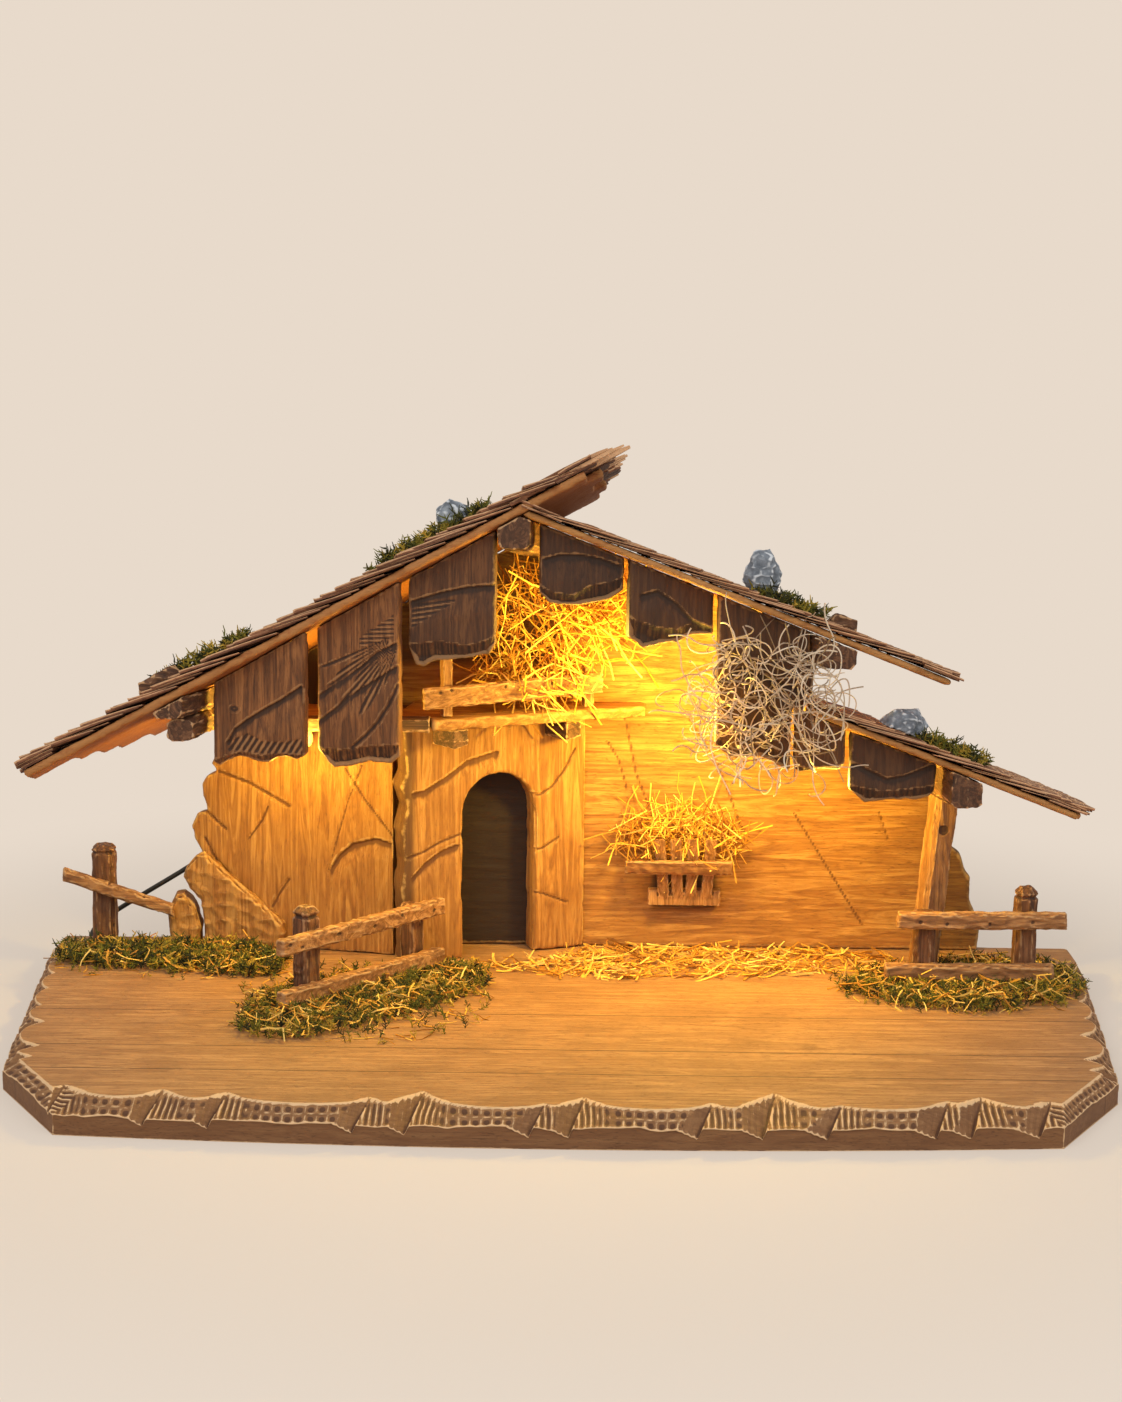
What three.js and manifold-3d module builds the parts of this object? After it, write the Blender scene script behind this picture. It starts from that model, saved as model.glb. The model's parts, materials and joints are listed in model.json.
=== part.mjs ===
import * as THREE from 'three';
import { ConvexGeometry } from 'three/addons/geometries/ConvexGeometry.js';
import { mergeVertices } from 'three/addons/utils/BufferGeometryUtils.js';
import Module from 'manifold-3d';

const wasm = await Module();
wasm.setup();

// Millimetres: +X right, +Y back, +Z up, origin under the middle of the base board.
// Heights of everything that stands on the board are measured from its top.
const gap = 0.3;

// Base board
const baseHalfWidth = 300;
const baseDepth = 296;
const baseHeight = 18;
const baseFrontInset = 50;
const baseCornerInset = 12;
const baseCornerDepth = 68;
const baseBackInset = 2;
const baseBackDepth = 33;
const baseBow = 11;
const frontChamfer = 13;
const sideChamfer = 3.5;
const chamferHeight = 7;
const nickDepth = 12;

// House
const roofFront = 30;
const roofBack = 146;
const wallThickness = 9.5;
const backWallFront = 137;
const doorWallThickness = 18;
const doorWallTurn = 21.8;
const doorWallCorner = [-92, 94];
const leftWallTurn = -12;
const leftWallCorner = [-99, 112];
const leftWallThickness = 10;
const boardThickness = 10;
const boardFront = 40;
const tallerThanRoof = 300;

// Roof planes: height of the underside at x on the front edge, slope along x, fall to the back
const leftRoof = { x: -37.4, height: 262.4, slope: 0.552, fall: 0.26, boards: 5, shingles: 7.5 };
const rightRoof = { x: 17.7, height: 252.3, slope: -0.391, fall: 0.148, boards: 4, shingles: 5 };
const lowerRoof = { x: 135.6, height: 161, slope: -0.39, fall: 0.148, boards: 4, shingles: 5 };
const lowerRoofStart = 130;
const stripShares = [24, 22, 26, 20, 24];
const leftEaveEnds = [-293, -271, -262, -255, -240];
const leftRidgeEnds = [15, 24, 19, 26, 22];
const rightEaveEnds = [209, 207, 205, 211, 207];
const lowerEaveEnds = [281, 286, 283, 288, 284];
const rightRoofStart = -34;
const courseLength = 16;
const shingleTipThickness = 2.4;

// Loft
const loftFloorHeight = 139.7;
const loftFloorThickness = 6.8;
const loftRailStart = [-79, 75];
const loftRailLength = 107.9;
const loftRailThickness = 4.5;
const loftPostSize = 6;

// Fence rails and posts
const railThickness = 7;
const lowRail = 3.5;
const highRail = 32.5;
const railHeight = 10;

// Lead
const leadRadius = 1.5;
const leadSides = 8;
const coilCentre = [-160, 184];
const coilOuterRadius = 23;
const coilPitch = 3.5;
const coilLayers = 4;
const coilTurnsPerLayer = 3;
const coilSteps = 24;
const coilSides = 6;
const plugAxisHeight = 3.8;

const looks = {
  baseWood: [0x9a7450, 0.75],
  wallWood: [0xb98a55, 0.8],
  beamWood: [0x6b4c36, 0.85],
  boardWood: [0x7d5d44, 0.8],
  shingleWood: [0x5f493b, 0.9],
  railWood: [0xa77f5a, 0.8],
  rock: [0x8b929a, 0.85],
  hay: [0xd9b24a, 0.9],
  lichen: [0xcdbfae, 0.95],
  moss: [0x56631f, 0.95],
  lamp: [0xffe9b8, 0.35],
  lead: [0x1d1c1b, 0.5],
};

function radians(degrees) {
  return (degrees * Math.PI) / 180;
}

// Geometry and booleans

function toSolid(geometry) {
  const bare = geometry.clone();
  bare.deleteAttribute('normal');
  bare.deleteAttribute('uv');
  const merged = mergeVertices(bare, 1e-4);
  return new wasm.Manifold(new wasm.Mesh({
    numProp: 3,
    vertProperties: new Float32Array(merged.attributes.position.array),
    triVerts: Uint32Array.from(merged.index.array),
  }));
}

function toGeometry(solid) {
  const mesh = solid.getMesh();
  const geometry = new THREE.BufferGeometry();
  geometry.setAttribute('position', new THREE.BufferAttribute(mesh.vertProperties, 3));
  geometry.setIndex(new THREE.BufferAttribute(mesh.triVerts, 1));
  return geometry;
}

function fuse(...geometries) {
  return toGeometry(geometries.map(toSolid).reduce((sum, next) => sum.add(next)));
}

function cut(geometry, ...tools) {
  return toGeometry(tools.map(toSolid).reduce((rest, tool) => rest.subtract(tool), toSolid(geometry)));
}

function flat(points, height, bevel = 0) {
  const shape = new THREE.Shape(points.map(([x, y]) => new THREE.Vector2(x, y)));
  const geometry = new THREE.ExtrudeGeometry(shape, {
    depth: height - 2 * bevel,
    bevelEnabled: bevel > 0,
    bevelThickness: bevel,
    bevelSize: bevel,
    bevelOffset: -bevel,
    bevelSegments: 1,
  });
  return geometry.translate(0, 0, bevel);
}

function upright(points, depth, bevel = 0) {
  return flat(points, depth, bevel).rotateX(Math.PI / 2).translate(0, depth, 0);
}

function block([x0, x1], [y0, y1], [z0, z1]) {
  return new THREE.BoxGeometry(x1 - x0, y1 - y0, z1 - z0)
    .translate((x0 + x1) / 2, (y0 + y1) / 2, (z0 + z1) / 2);
}

function lean(geometry, { xPerY = 0, zPerY = 0, xPerZ = 0, yPerZ = 0 }) {
  return geometry.applyMatrix4(new THREE.Matrix4().makeShear(0, 0, xPerY, zPerY, xPerZ, yPerZ));
}

function turn(geometry, degrees, [x, y] = [0, 0], z = 0) {
  return geometry.rotateZ(radians(degrees)).translate(x, y, z);
}

function ellipsoid([x, y, z], [rx, ry, rz]) {
  return new THREE.SphereGeometry(1, 16, 10).rotateX(Math.PI / 2).scale(rx, ry, rz).translate(x, y, z);
}

function turned(profile, sides) {
  return new THREE.LatheGeometry(profile.map(([r, h]) => new THREE.Vector2(r, h)), sides)
    .rotateX(Math.PI / 2);
}

// Repeatable small irregularity between -1 and 1
function uneven(seed) {
  return 2 * Math.abs((Math.sin(seed * 12.9898) * 43758.5453) % 1) - 1;
}

// Roof surfaces

function undersideHeight(roof, x) {
  return roof.height + roof.slope * (x - roof.x);
}

function undersideAt(roof, x, y) {
  return undersideHeight(roof, x) - roof.fall * (y - roofFront);
}

function roofTilt(roof) {
  return Math.atan(roof.slope);
}

function overRoof(roof, x, lift) {
  const tilt = roofTilt(roof);
  return [x - lift * Math.sin(tilt), undersideHeight(roof, x) + lift * Math.cos(tilt)];
}

function sweepAlongRoof(roof, outline, from, to) {
  const strip = lean(upright(outline, to - from), { zPerY: -roof.fall });
  return strip.translate(0, roofFront + from, -roof.fall * from);
}

// Everything above a roof's underside, or below the top of its shingles, as a tool
function roofSpace(roof, from, to, side, lift) {
  const reach = side * tallerThanRoof;
  const ends = [from, to].map((x) => [x, undersideHeight(roof, x) + lift]);
  const far = [to, from].map((x) => [x, undersideHeight(roof, x) + lift + reach]);
  return sweepAlongRoof(roof, [...ends, ...far], -roofFront, roofBack - roofFront + 10);
}

function shingleTop(roof) {
  return (roof.boards + gap + roof.shingles + gap) / Math.cos(roofTilt(roof));
}

const aboveLeft = roofSpace(leftRoof, -330, 60, 1, -gap);
const aboveRight = roofSpace(rightRoof, -60, 240, 1, -gap);
const aboveLower = roofSpace(lowerRoof, lowerRoofStart - gap, 320, 1, -gap);
const aboveLowerWide = roofSpace(lowerRoof, 110, 320, 1, -gap);

function stripEdges() {
  const total = stripShares.reduce((sum, share) => sum + share);
  const edges = [0];
  for (const share of stripShares) {
    edges.push(edges.at(-1) + (share / total) * (roofBack - roofFront));
  }
  return edges;
}

function boardOutline(roof, low, high) {
  return [
    overRoof(roof, low, 0),
    overRoof(roof, high, 0),
    overRoof(roof, high, roof.boards),
    overRoof(roof, low, roof.boards),
  ];
}

// Saw-toothed section of overlapping shingle courses from the eave up
function shingleOutline(roof, low, high, seed) {
  const base = roof.boards + gap;
  const uphill = Math.sign(high - low);
  const step = courseLength * Math.cos(roofTilt(roof));
  const courses = Math.floor(Math.abs(high - low) / step);
  const outline = [overRoof(roof, high, base), overRoof(roof, low, base)];
  let x = low;
  for (let course = 0; course < courses; course += 1) {
    const butt = roof.shingles * (0.9 + 0.1 * uneven(seed + course));
    const next = course === courses - 1 ? high : x + uphill * step * (1 + 0.12 * uneven(seed - course));
    outline.push(overRoof(roof, x, base + butt));
    outline.push(overRoof(roof, next, base + shingleTipThickness));
    x = next;
  }
  return outline;
}

function roofStrips(roof, lows, highs, makeOutline) {
  const edges = stripEdges();
  const strips = lows.map((low, i) => (
    sweepAlongRoof(roof, makeOutline(roof, low, highs[i], 7 * i + 1), edges[i], edges[i + 1])
  ));
  return fuse(...strips);
}

// Walls

function inDoorWall(geometry) {
  return turn(geometry, doorWallTurn, doorWallCorner);
}

function inLeftWall(geometry) {
  return turn(geometry, leftWallTurn, leftWallCorner);
}

const behindBackWall = block([-160, 320], [backWallFront - gap, backWallFront + 60], [-20, 320]);
const behindLeftWall = inLeftWall(block([-140, 6], [-gap, 70], [-20, 320]));
const behindDoorWall = inDoorWall(block([-4, 125], [-gap, 60], [-20, 320]));

function backWall() {
  const left = -110;
  const right = 215;
  const outline = [
    [left, gap],
    [241, gap],
    [242.5, 15],
    [235.5, 31],
    [235.5, 45],
    [232.4, 48.3],
    [229.5, 58],
    [224, 62.5],
    [right, 66],
    [right, tallerThanRoof],
    [left, tallerThanRoof],
  ];
  const wall = upright(outline, wallThickness).translate(0, backWallFront, 0);
  return cut(wall, aboveLeft, aboveRight, aboveLower);
}

// Outlines of the turned walls run along their fronts, from the front corner of each
function leftWall() {
  const brokenEdge = [
    [-99.5, 132],
    [-109.4, 107.1],
    [-105.7, 103.1],
    [-112.5, 99.8],
    [-115.6, 94.8],
    [-114.6, 84.7],
    [-111.6, 79],
    [-118.4, 77.3],
    [-121.9, 69.3],
    [-120.4, 62.2],
    [-116.9, 55.9],
    [-114.4, 51.8],
    [-115, gap],
  ];
  const outline = [[0, gap], [0, tallerThanRoof], [-99.5, tallerThanRoof], ...brokenEdge];
  return cut(inLeftWall(upright(outline, leftWallThickness)), aboveLeft);
}

const doorJambs = [36.3, 79.5];
const doorCrown = 108;

function doorArch() {
  const [left, right] = doorJambs;
  const radius = (right - left) / 2;
  const points = [[left, gap]];
  for (let i = 0; i <= 10; i += 1) {
    const angle = Math.PI * (1 - i / 10);
    points.push([left + radius + radius * Math.cos(angle), doorCrown - radius + radius * Math.sin(angle)]);
  }
  return [...points, [right, gap]];
}

function doorWall() {
  const length = 111.5;
  const top = loftFloorHeight - gap;
  const chippedEdge = [[0, top], [2, 112], [-1.2, 104], [2.4, 92], [-0.8, 78], [1.2, 60], [-1, 44], [1.6, 22], [0, gap]];
  const outline = [...chippedEdge, ...doorArch(), [length, gap], [length, top]];
  return cut(inDoorWall(upright(outline, doorWallThickness, 1.2)), behindBackWall);
}

function rockSlab() {
  const outline = [
    [-112.5, 56.4],
    [-118, 53.4],
    [-123.4, 46.7],
    [-125.2, 40.8],
    [-121.3, 33],
    [-114.8, 27.1],
    [-112.7, 11.6],
    [-112.5, gap],
    [-63.4, gap],
    [-63.9, 16.4],
  ];
  return inLeftWall(upright(outline, 8, 1.5).translate(0, -8 - gap, 0));
}

function rockBlock() {
  const outline = [
    [-229, gap],
    [-212.3, gap],
    [-212.3, 12],
    [-216, 24],
    [-222.5, 31],
    [-227, 30.5],
    [-232, 20],
    [-231, 6],
  ];
  return upright(outline, 17, 2).translate(0, 128, 0);
}

// Base board with its chamfered, nicked rim

// Distance of a long edge from the middle of the board at x; both bow out between the corners
function longEdge(x) {
  const share = x / (baseHalfWidth - baseFrontInset);
  return baseDepth / 2 + baseBow * Math.max(1 - share * share, 0);
}

// One outline of the board, drawn in from its foot by a run along the front and along the sides
function baseRing(frontRun, sideRun) {
  const shares = [-0.75, -0.5, -0.25, 0, 0.25, 0.5, 0.75];
  const bows = shares.map((share) => share * (baseHalfWidth - baseFrontInset));
  const right = [
    [baseHalfWidth - baseFrontInset - 0.7 * frontRun, -baseDepth / 2 + frontRun],
    [baseHalfWidth - baseCornerInset - 0.8 * frontRun, -baseDepth / 2 + baseCornerDepth],
    [baseHalfWidth - sideRun, baseDepth / 2 - baseBackDepth],
    [baseHalfWidth - baseBackInset - sideRun, baseDepth / 2 - sideRun],
  ];
  return [
    ...right,
    ...right.map(([x, y]) => [-x, y]),
    ...bows.map((x) => [x, -longEdge(x) + frontRun]),
    ...bows.map((x) => [x, longEdge(x) - sideRun]),
  ];
}

// A V cut by a chisel: its valley rises from the board's face, `length` away, to its tip on the deck
function chiselNick([x, y], length, heading, [wide, steep], drift = 7) {
  const over = 6;
  const outline = [[0, 0], [2 * steep, 2 * nickDepth], [-2 * wide, 2 * nickDepth]];
  const groove = upright(outline, length + 2 * over).translate(0, -length - over, 0);
  return turn(lean(groove, { xPerY: drift / length, zPerY: nickDepth / length }), heading, [x, y], baseHeight);
}

// Each nick: where its tip is along the edge, and how far the tip is in from the board's face
function frontNicks() {
  const tips = [[-247, 25], [-197, 22], [-164.5, 21], [-93, 19.5], [-67, 31], [-6, 16], [13.5, 25], [77, 18],
    [109, 34], [141, 16], [194.5, 20], [212, 26], [246, 19]];
  return tips.map(([x, length]) => chiselNick([x, length - longEdge(x)], length, 0, [13, 4]));
}

function sideNicks(side) {
  const tips = [[-80, 15], [-62, 17], [-21, 15], [9, 9.5], [40, 9.5], [69, 9.5], [97, 9]];
  const span = baseDepth - baseCornerDepth - baseBackDepth;
  return tips.map(([y, length]) => {
    const share = (y + baseDepth / 2 - baseCornerDepth) / span;
    const face = baseHalfWidth - baseCornerInset * (1 - share);
    const slopes = side < 0 ? [12, 6] : [6, 12];
    return chiselNick([side * (face - length), y], length, side * 90, slopes, side * -2);
  });
}

function baseBoard() {
  const rings = [
    [baseRing(0, 0), 0],
    [baseRing(0, 0), baseHeight - chamferHeight],
    [baseRing(frontChamfer, sideChamfer), baseHeight],
  ];
  const corners = rings.flatMap(([ring, z]) => ring.map(([x, y]) => new THREE.Vector3(x, y, z)));
  return cut(new ConvexGeometry(corners), ...frontNicks(), ...sideNicks(-1), ...sideNicks(1));
}

// Beams: a section with hewn corners, running back from `front` and drifting as it goes

function beam({ left, right, bottom, top, front, xPerY = 0, zPerY = 0, corner = 2.5 }, grow = 0) {
  const [x0, x1, z0, z1] = [left - grow, right + grow, bottom - grow, top + grow];
  const outline = [
    [x0 + corner, z0],
    [x1 - corner, z0],
    [x1, z0 + corner],
    [x1, z1 - corner],
    [x1 - corner, z1],
    [x0 + corner, z1],
    [x0, z1 - corner],
    [x0, z0 + corner],
  ];
  return lean(upright(outline, 130), { xPerY, zPerY }).translate(0, front, 0);
}

// Where along x the undersides of the two upper roofs meet
function crestPlace() {
  const level = (roof) => roof.height - roof.slope * roof.x;
  return (level(rightRoof) - level(leftRoof)) / (leftRoof.slope - rightRoof.slope);
}

// A beam's sides and fall, and its underside this far below the roof that it carries
function underRoof(roof, drop, sides) {
  const bottom = undersideHeight(roof, (sides.left + sides.right) / 2) - drop;
  return { ...sides, front: roofFront, bottom, top: bottom + 30 };
}

const crest = crestPlace();
const ridgeBottom = undersideHeight(leftRoof, crest) - 18.8;
const ridgeBeam = {
  left: crest - 12.3,
  right: crest + 5.7,
  bottom: ridgeBottom,
  top: ridgeBottom + 34.7,
  front: roofFront,
  xPerY: 0.116,
  zPerY: -0.195,
};
const leftPurlin = underRoof(leftRoof, 9, { left: -224, right: -207.5, xPerY: 0.466 });
const rightPurlin = underRoof(rightRoof, 14.9, { left: 136, right: 157, xPerY: -0.306, zPerY: -0.028 });
const lowerPurlin = underRoof(lowerRoof, 17.7, { left: 210, right: 227, xPerY: -0.151, zPerY: -0.089 });
const eaveBeamDepth = 12.7;
const eaveBeam = {
  left: -217,
  right: -202,
  bottom: leftPurlin.bottom - gap - eaveBeamDepth,
  top: leftPurlin.bottom - gap,
  front: roofFront + 4,
  xPerY: 0.3,
};

const rightPost = { foot: [204, 93], halfWidth: 6.5, halfDepth: 7, corner: 2.5, turn: 16 };

function standRightPost() {
  const { foot, halfWidth, halfDepth, corner } = rightPost;
  const section = [
    [-halfWidth, -halfDepth + corner],
    [-halfWidth + corner, -halfDepth],
    [halfWidth, -halfDepth],
    [halfWidth, halfDepth],
    [-halfWidth, halfDepth],
  ];
  const behindFront = foot[1] + halfDepth + 1.5 - roofFront;
  const top = lowerPurlin.bottom + lowerPurlin.zPerY * behindFront - gap;
  const post = flat(section, top - gap).rotateZ(radians(rightPost.turn));
  return lean(post, { xPerZ: 0.09 }).translate(...foot, gap);
}

// Gable boards hang under a roof's edge. Each `edge` is the scalloped lower end, left to right:
// x, and how far it is below the roof's underside
const gableBoards = [
  {
    roof: leftRoof,
    turn: -10,
    edge: [[-193.2, 47.8], [-190.2, 51.7], [-178.6, 51.8], [-168.3, 60.1], [-162.8, 64.2],
      [-156.8, 63.8], [-151.8, 65.7], [-146.9, 70], [-141.2, 70.3]],
  },
  {
    roof: leftRoof,
    turn: -10,
    edge: [[-136, 70.9], [-130, 82.5], [-127.3, 86.2], [-117.4, 90.3], [-107.6, 92.8], [-95, 100.2], [-90, 99]],
  },
  {
    roof: leftRoof,
    turn: -6,
    edge: [[-86, 40.2], [-81.9, 53.3], [-77.5, 56.9], [-71, 56.5], [-54.8, 64.7], [-41.5, 68.5], [-38.2, 64.3]],
  },
  {
    roof: rightRoof,
    turn: 0,
    edge: [[-15, 39.7], [-9.5, 43.5], [5.6, 38.5], [21.2, 29.5], [31, 20.5]],
  },
  {
    roof: rightRoof,
    turn: 12,
    edge: [[33.5, 44.4], [41.6, 47.1], [51.3, 41], [60.5, 37.3], [66.9, 30.9], [80.6, 25.3]],
  },
  {
    roof: rightRoof,
    turn: 0,
    edge: [[81.4, 85.3], [91, 88.9], [107.3, 81], [117.8, 82.9], [134.5, 84.1]],
    stepsOverLowerRoof: true,
  },
  {
    roof: lowerRoof,
    turn: 0,
    edge: [[124.6, 35.8], [128, 36.4], [136.9, 31.1], [150, 25.8], [152.6, 21.4]],
  },
  {
    roof: lowerRoof,
    turn: 4,
    edge: [[155.2, 34.4], [164.1, 38.7], [177.4, 31.6], [190.2, 27.3], [200, 22], [203, 16.7]],
  },
];

// What the lower roof and the board under it leave free beside the tall board
const besideLowerRoof = fuse(
  roofSpace(lowerRoof, 123, 150, -1, 0),
  roofSpace(lowerRoof, lowerRoofStart - gap, 150, -1, shingleTop(lowerRoof)),
);

function gableBoard({ roof, turn: angle, edge, stepsOverLowerRoof = false }) {
  const left = edge[0][0];
  const right = edge.at(-1)[0];
  const middle = (left + right) / 2;
  const lower = edge.map(([x, drop]) => [x - middle, undersideHeight(roof, x) - drop]);
  const outline = [...lower, [right - middle, tallerThanRoof], [left - middle, tallerThanRoof]];
  const board = turn(upright(outline, boardThickness, 1.2), angle, [middle, boardFront]);
  const under = roof === lowerRoof ? aboveLowerWide : aboveRight;
  const hung = cut(board, aboveLeft, under, beam(ridgeBeam, gap), beam(rightPurlin, gap));
  return stepsOverLowerRoof ? cut(hung, besideLowerRoof) : hung;
}

// Loft

function inLoft(geometry) {
  return turn(geometry, doorWallTurn + 0.2, loftRailStart);
}

const loftPosts = { left: { along: 15.7, top: 181.6 }, right: { along: 100.8, top: 176 } };

function loftPost({ along, top }, grow = 0) {
  const half = loftPostSize / 2 + grow;
  const middle = loftRailThickness + gap + loftPostSize / 2;
  const bottom = loftFloorHeight + loftFloorThickness + gap;
  return inLoft(block([along - half, along + half], [middle - half, middle + half], [bottom - grow, top + grow]));
}

function loftRail(grow = 0) {
  const outline = [
    [-grow, 152.3 - grow],
    [loftRailLength + grow, 155.1 - grow],
    [loftRailLength + grow, 167.5 + grow],
    [-grow, 164.8 + grow],
  ];
  return inLoft(upright(outline, loftRailThickness + 2 * grow, grow > 0 ? 0 : 0.8).translate(0, -grow, 0));
}

function loftFloor() {
  const back = backWallFront - gap;
  const plan = [
    [-75.2, 76.6],
    [45, 125.2],
    [45, back],
    [-94, back],
    [-97.5, 111.3],
    [-188, 130.5],
    [-188, 86.3],
    [-76, 86.3],
  ];
  const floor = flat(plan, loftFloorThickness).translate(0, 0, loftFloorHeight);
  return cut(floor, behindLeftWall, beam(eaveBeam, gap));
}

function tieBeam() {
  const tie = block([-215, -76], [76, 86], [loftFloorHeight - 0.2, loftFloorHeight + 7.6]);
  return cut(tie, beam(eaveBeam, gap));
}

function loftBracket([x, y]) {
  const [width, drop, length, heading] = [11, 11.4, 60, 130];
  const top = loftFloorHeight - gap;
  const arm = upright([[-width / 2, top - drop], [width / 2, top - drop + 1.5], [width / 2, top],
    [-width / 2, top]], length);
  return cut(turn(arm, heading - 90, [0, 0]).translate(x, y, 0), behindDoorWall);
}

// Manger

const mangerLean = -0.33;
const slatThickness = 3;

function leaning(geometry, footHeight, footFront) {
  return lean(geometry.translate(0, 0, -footHeight), { yPerZ: mangerLean })
    .translate(0, footFront, footHeight);
}

function mangerRack() {
  const slats = [[57.5, 53.8], [65.3, 63.3], [72.7, 73.6], [81.7, 83.9]];
  const [foot, top, half] = [30, 70, 3.3];
  const bars = slats.map(([low, high]) => leaning(
    upright([[low - half, foot], [low + half, foot], [high + half, top], [high - half, top]], slatThickness),
    foot + 2,
    backWallFront - 8.5,
  ));
  const sill = block([48, 90], [backWallFront - gap - 8, backWallFront - gap], [27.5, 36.5]);
  return fuse(sill, ...bars);
}

function mangerTopRail() {
  const thickness = 4;
  const outline = [[34, 48.4], [96.5, 48], [96, 57.5], [34.5, 57]];
  const rail = upright(outline, thickness, 0.8);
  return leaning(rail, 32, backWallFront - 8.5 - gap * 1.1 - thickness);
}

function mangerHay() {
  const heap = ellipsoid([66, backWallFront - 10, 66], [38, 11, 24]);
  const front = leaning(block([0, 130], [-60, slatThickness + 2 * gap], [20, 71]), 32, backWallFront - 8.5);
  return cut(heap, behindBackWall, front);
}

// Fences: rails on one turned line, with their posts behind them

const frontFence = { turn: 48, start: [-150, -8] };
const rightFence = { turn: 2, start: [179.5, 60.6] };
const backFence = { turn: 0, start: [-291.6, 120] };

function inFence(fence, geometry) {
  return turn(geometry, fence.turn, fence.start);
}

function fenceRail(fence, { from, to, bottom, rise = 0 }, height = railHeight) {
  const outline = [
    [from, bottom],
    [(from + to) / 2, bottom + rise / 2 - 0.4],
    [to, bottom + rise],
    [to - 0.8, bottom + rise + height],
    [from + 0.6, bottom + height],
  ];
  return inFence(fence, upright(outline, railThickness, 1.2));
}

function fencePost(fence, { along, size, height, corner = 2.5, crown = 3.2 }, grow = 0) {
  const half = size / 2 + grow;
  const section = [
    [-half + corner, -half],
    [half - corner, -half],
    [half, -half + corner],
    [half, half - corner],
    [half - corner, half],
    [-half + corner, half],
    [-half, half - corner],
    [-half, -half + corner],
  ].map(([x, y]) => [x + along, y + railThickness + gap + size / 2]);
  const shaft = flat(section, height - 2 * crown);
  const facets = flat(section, 2 * crown + 0.6, crown).translate(0, 0, height - 2 * crown - 0.6);
  const post = grow > 0 ? flat(section, height + grow) : fuse(shaft, facets);
  return inFence(fence, post.translate(0, 0, gap - grow));
}

const posts = {
  frontLeft: [frontFence, { along: 29.7, size: 13, height: 53.7 }],
  frontRight: [frontFence, { along: 109.9, size: 12, height: 39.7, crown: 1.5 }],
  rightInner: [rightFence, { along: 23.5, size: 13, height: 41, crown: 1.5 }],
  rightOuter: [rightFence, { along: 80.5, size: 13, height: 55.3 }],
  backLeft: [backFence, { along: 22.6, size: 14, height: 58.7, crown: 2.5 }],
};

// Stones and wood chips on the roofs

function roofStone(roof, x, y, [width, depth, height], seed) {
  const stone = new THREE.IcosahedronGeometry(1, 0).rotateZ(seed).rotateX(seed * 1.7);
  const top = undersideAt(roof, x, y) + shingleTop(roof);
  stone.scale(width / 1.8, depth / 1.8, height / 1.5).translate(x, y, top + height * 0.32);
  return cut(stone, roofSpace(roof, x - 60, x + 60, -1, shingleTop(roof)));
}

function woodChip(roof, x, y, [length, depth, height], lift) {
  const base = roof.boards + gap + lift;
  const run = length * Math.cos(roofTilt(roof));
  const outline = [
    overRoof(roof, x - run / 2, base),
    overRoof(roof, x + run / 2, base),
    overRoof(roof, x + run / 2 - 2, base + height),
    overRoof(roof, x - run / 2 + 3, base + height),
  ];
  return sweepAlongRoof(roof, outline, y - roofFront, y - roofFront + depth);
}

function leftShingles() {
  const courses = roofStrips(leftRoof, leftEaveEnds.map((x) => x + 2), leftRidgeEnds, shingleOutline);
  return fuse(courses, woodChip(leftRoof, -214, 34, [28, 12, 9], 4));
}

function rightShingles() {
  const starts = rightEaveEnds.map(() => rightRoofStart);
  const courses = roofStrips(rightRoof, rightEaveEnds, starts, shingleOutline);
  return cut(fuse(courses, woodChip(rightRoof, 146, 44, [18, 12, 9], 2)), aboveLeft);
}

function rightBoards() {
  const starts = rightEaveEnds.map(() => rightRoofStart);
  return cut(roofStrips(rightRoof, rightEaveEnds.map((x) => x - 2), starts, boardOutline), aboveLeft);
}

// Soft pieces

function loftHay() {
  const heap = fuse(
    ellipsoid([-20, 112, 187], [38, 20, 42]),
    ellipsoid([12, 112, 197], [30, 19, 28]),
  );
  const belowFloor = block([-120, 80], [40, 160], [0, loftFloorHeight + loftFloorThickness + gap]);
  return cut(heap, behindBackWall, belowFloor, aboveLeft, aboveRight, beam(ridgeBeam, gap),
    loftPost(loftPosts.left, gap), loftPost(loftPosts.right, gap), loftRail(gap));
}

function lichen() {
  const x = 107;
  const clump = ellipsoid([x, boardFront - 18, undersideHeight(rightRoof, x) - 47.4], [42, 14, 42]);
  const boards = block([40, 170], [boardFront - gap, boardFront + 40], [60, 300]);
  const besideLowerRoof = block([lowerRoofStart - 0.8, 200], [roofFront - gap, 90], [60, 300]);
  return cut(clump, boards, besideLowerRoof, aboveRight);
}

function mossMat(plan, ...holes) {
  return cut(flat(plan, 2.8, 1).translate(0, 0, gap), ...holes);
}

function leftMoss() {
  const plan = [[-290, 86], [-250, 76], [-205, 72], [-180, 60], [-160, 68], [-158, 92], [-172, 112],
    [-200, 118], [-250, 124], [-288, 118]];
  return mossMat(plan);
}

function frontMoss() {
  const plan = [[-174, -36], [-155, -49], [-127, -43], [-97, -17], [-66, 12], [-42, 50], [-46, 84],
    [-72, 92], [-104, 74], [-150, 46], [-170, 20]];
  return mossMat(plan, fencePost(...posts.frontLeft, gap), fencePost(...posts.frontRight, gap));
}

function rightMoss() {
  const plan = [[154, 52], [185, 24], [227, 14], [274, 32], [290, 56], [290, 90], [270, 110], [222, 108],
    [190, 92], [164, 76]];
  return mossMat(plan, fencePost(...posts.rightInner, gap), fencePost(...posts.rightOuter, gap), rightPostHole());
}

function rightPostHole() {
  const [x, y] = rightPost.foot;
  return block([x - 10, x + 10], [y - 10, y + 10], [-1, 5]);
}

// Lamps: a small bulb hanging from a cap

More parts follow.
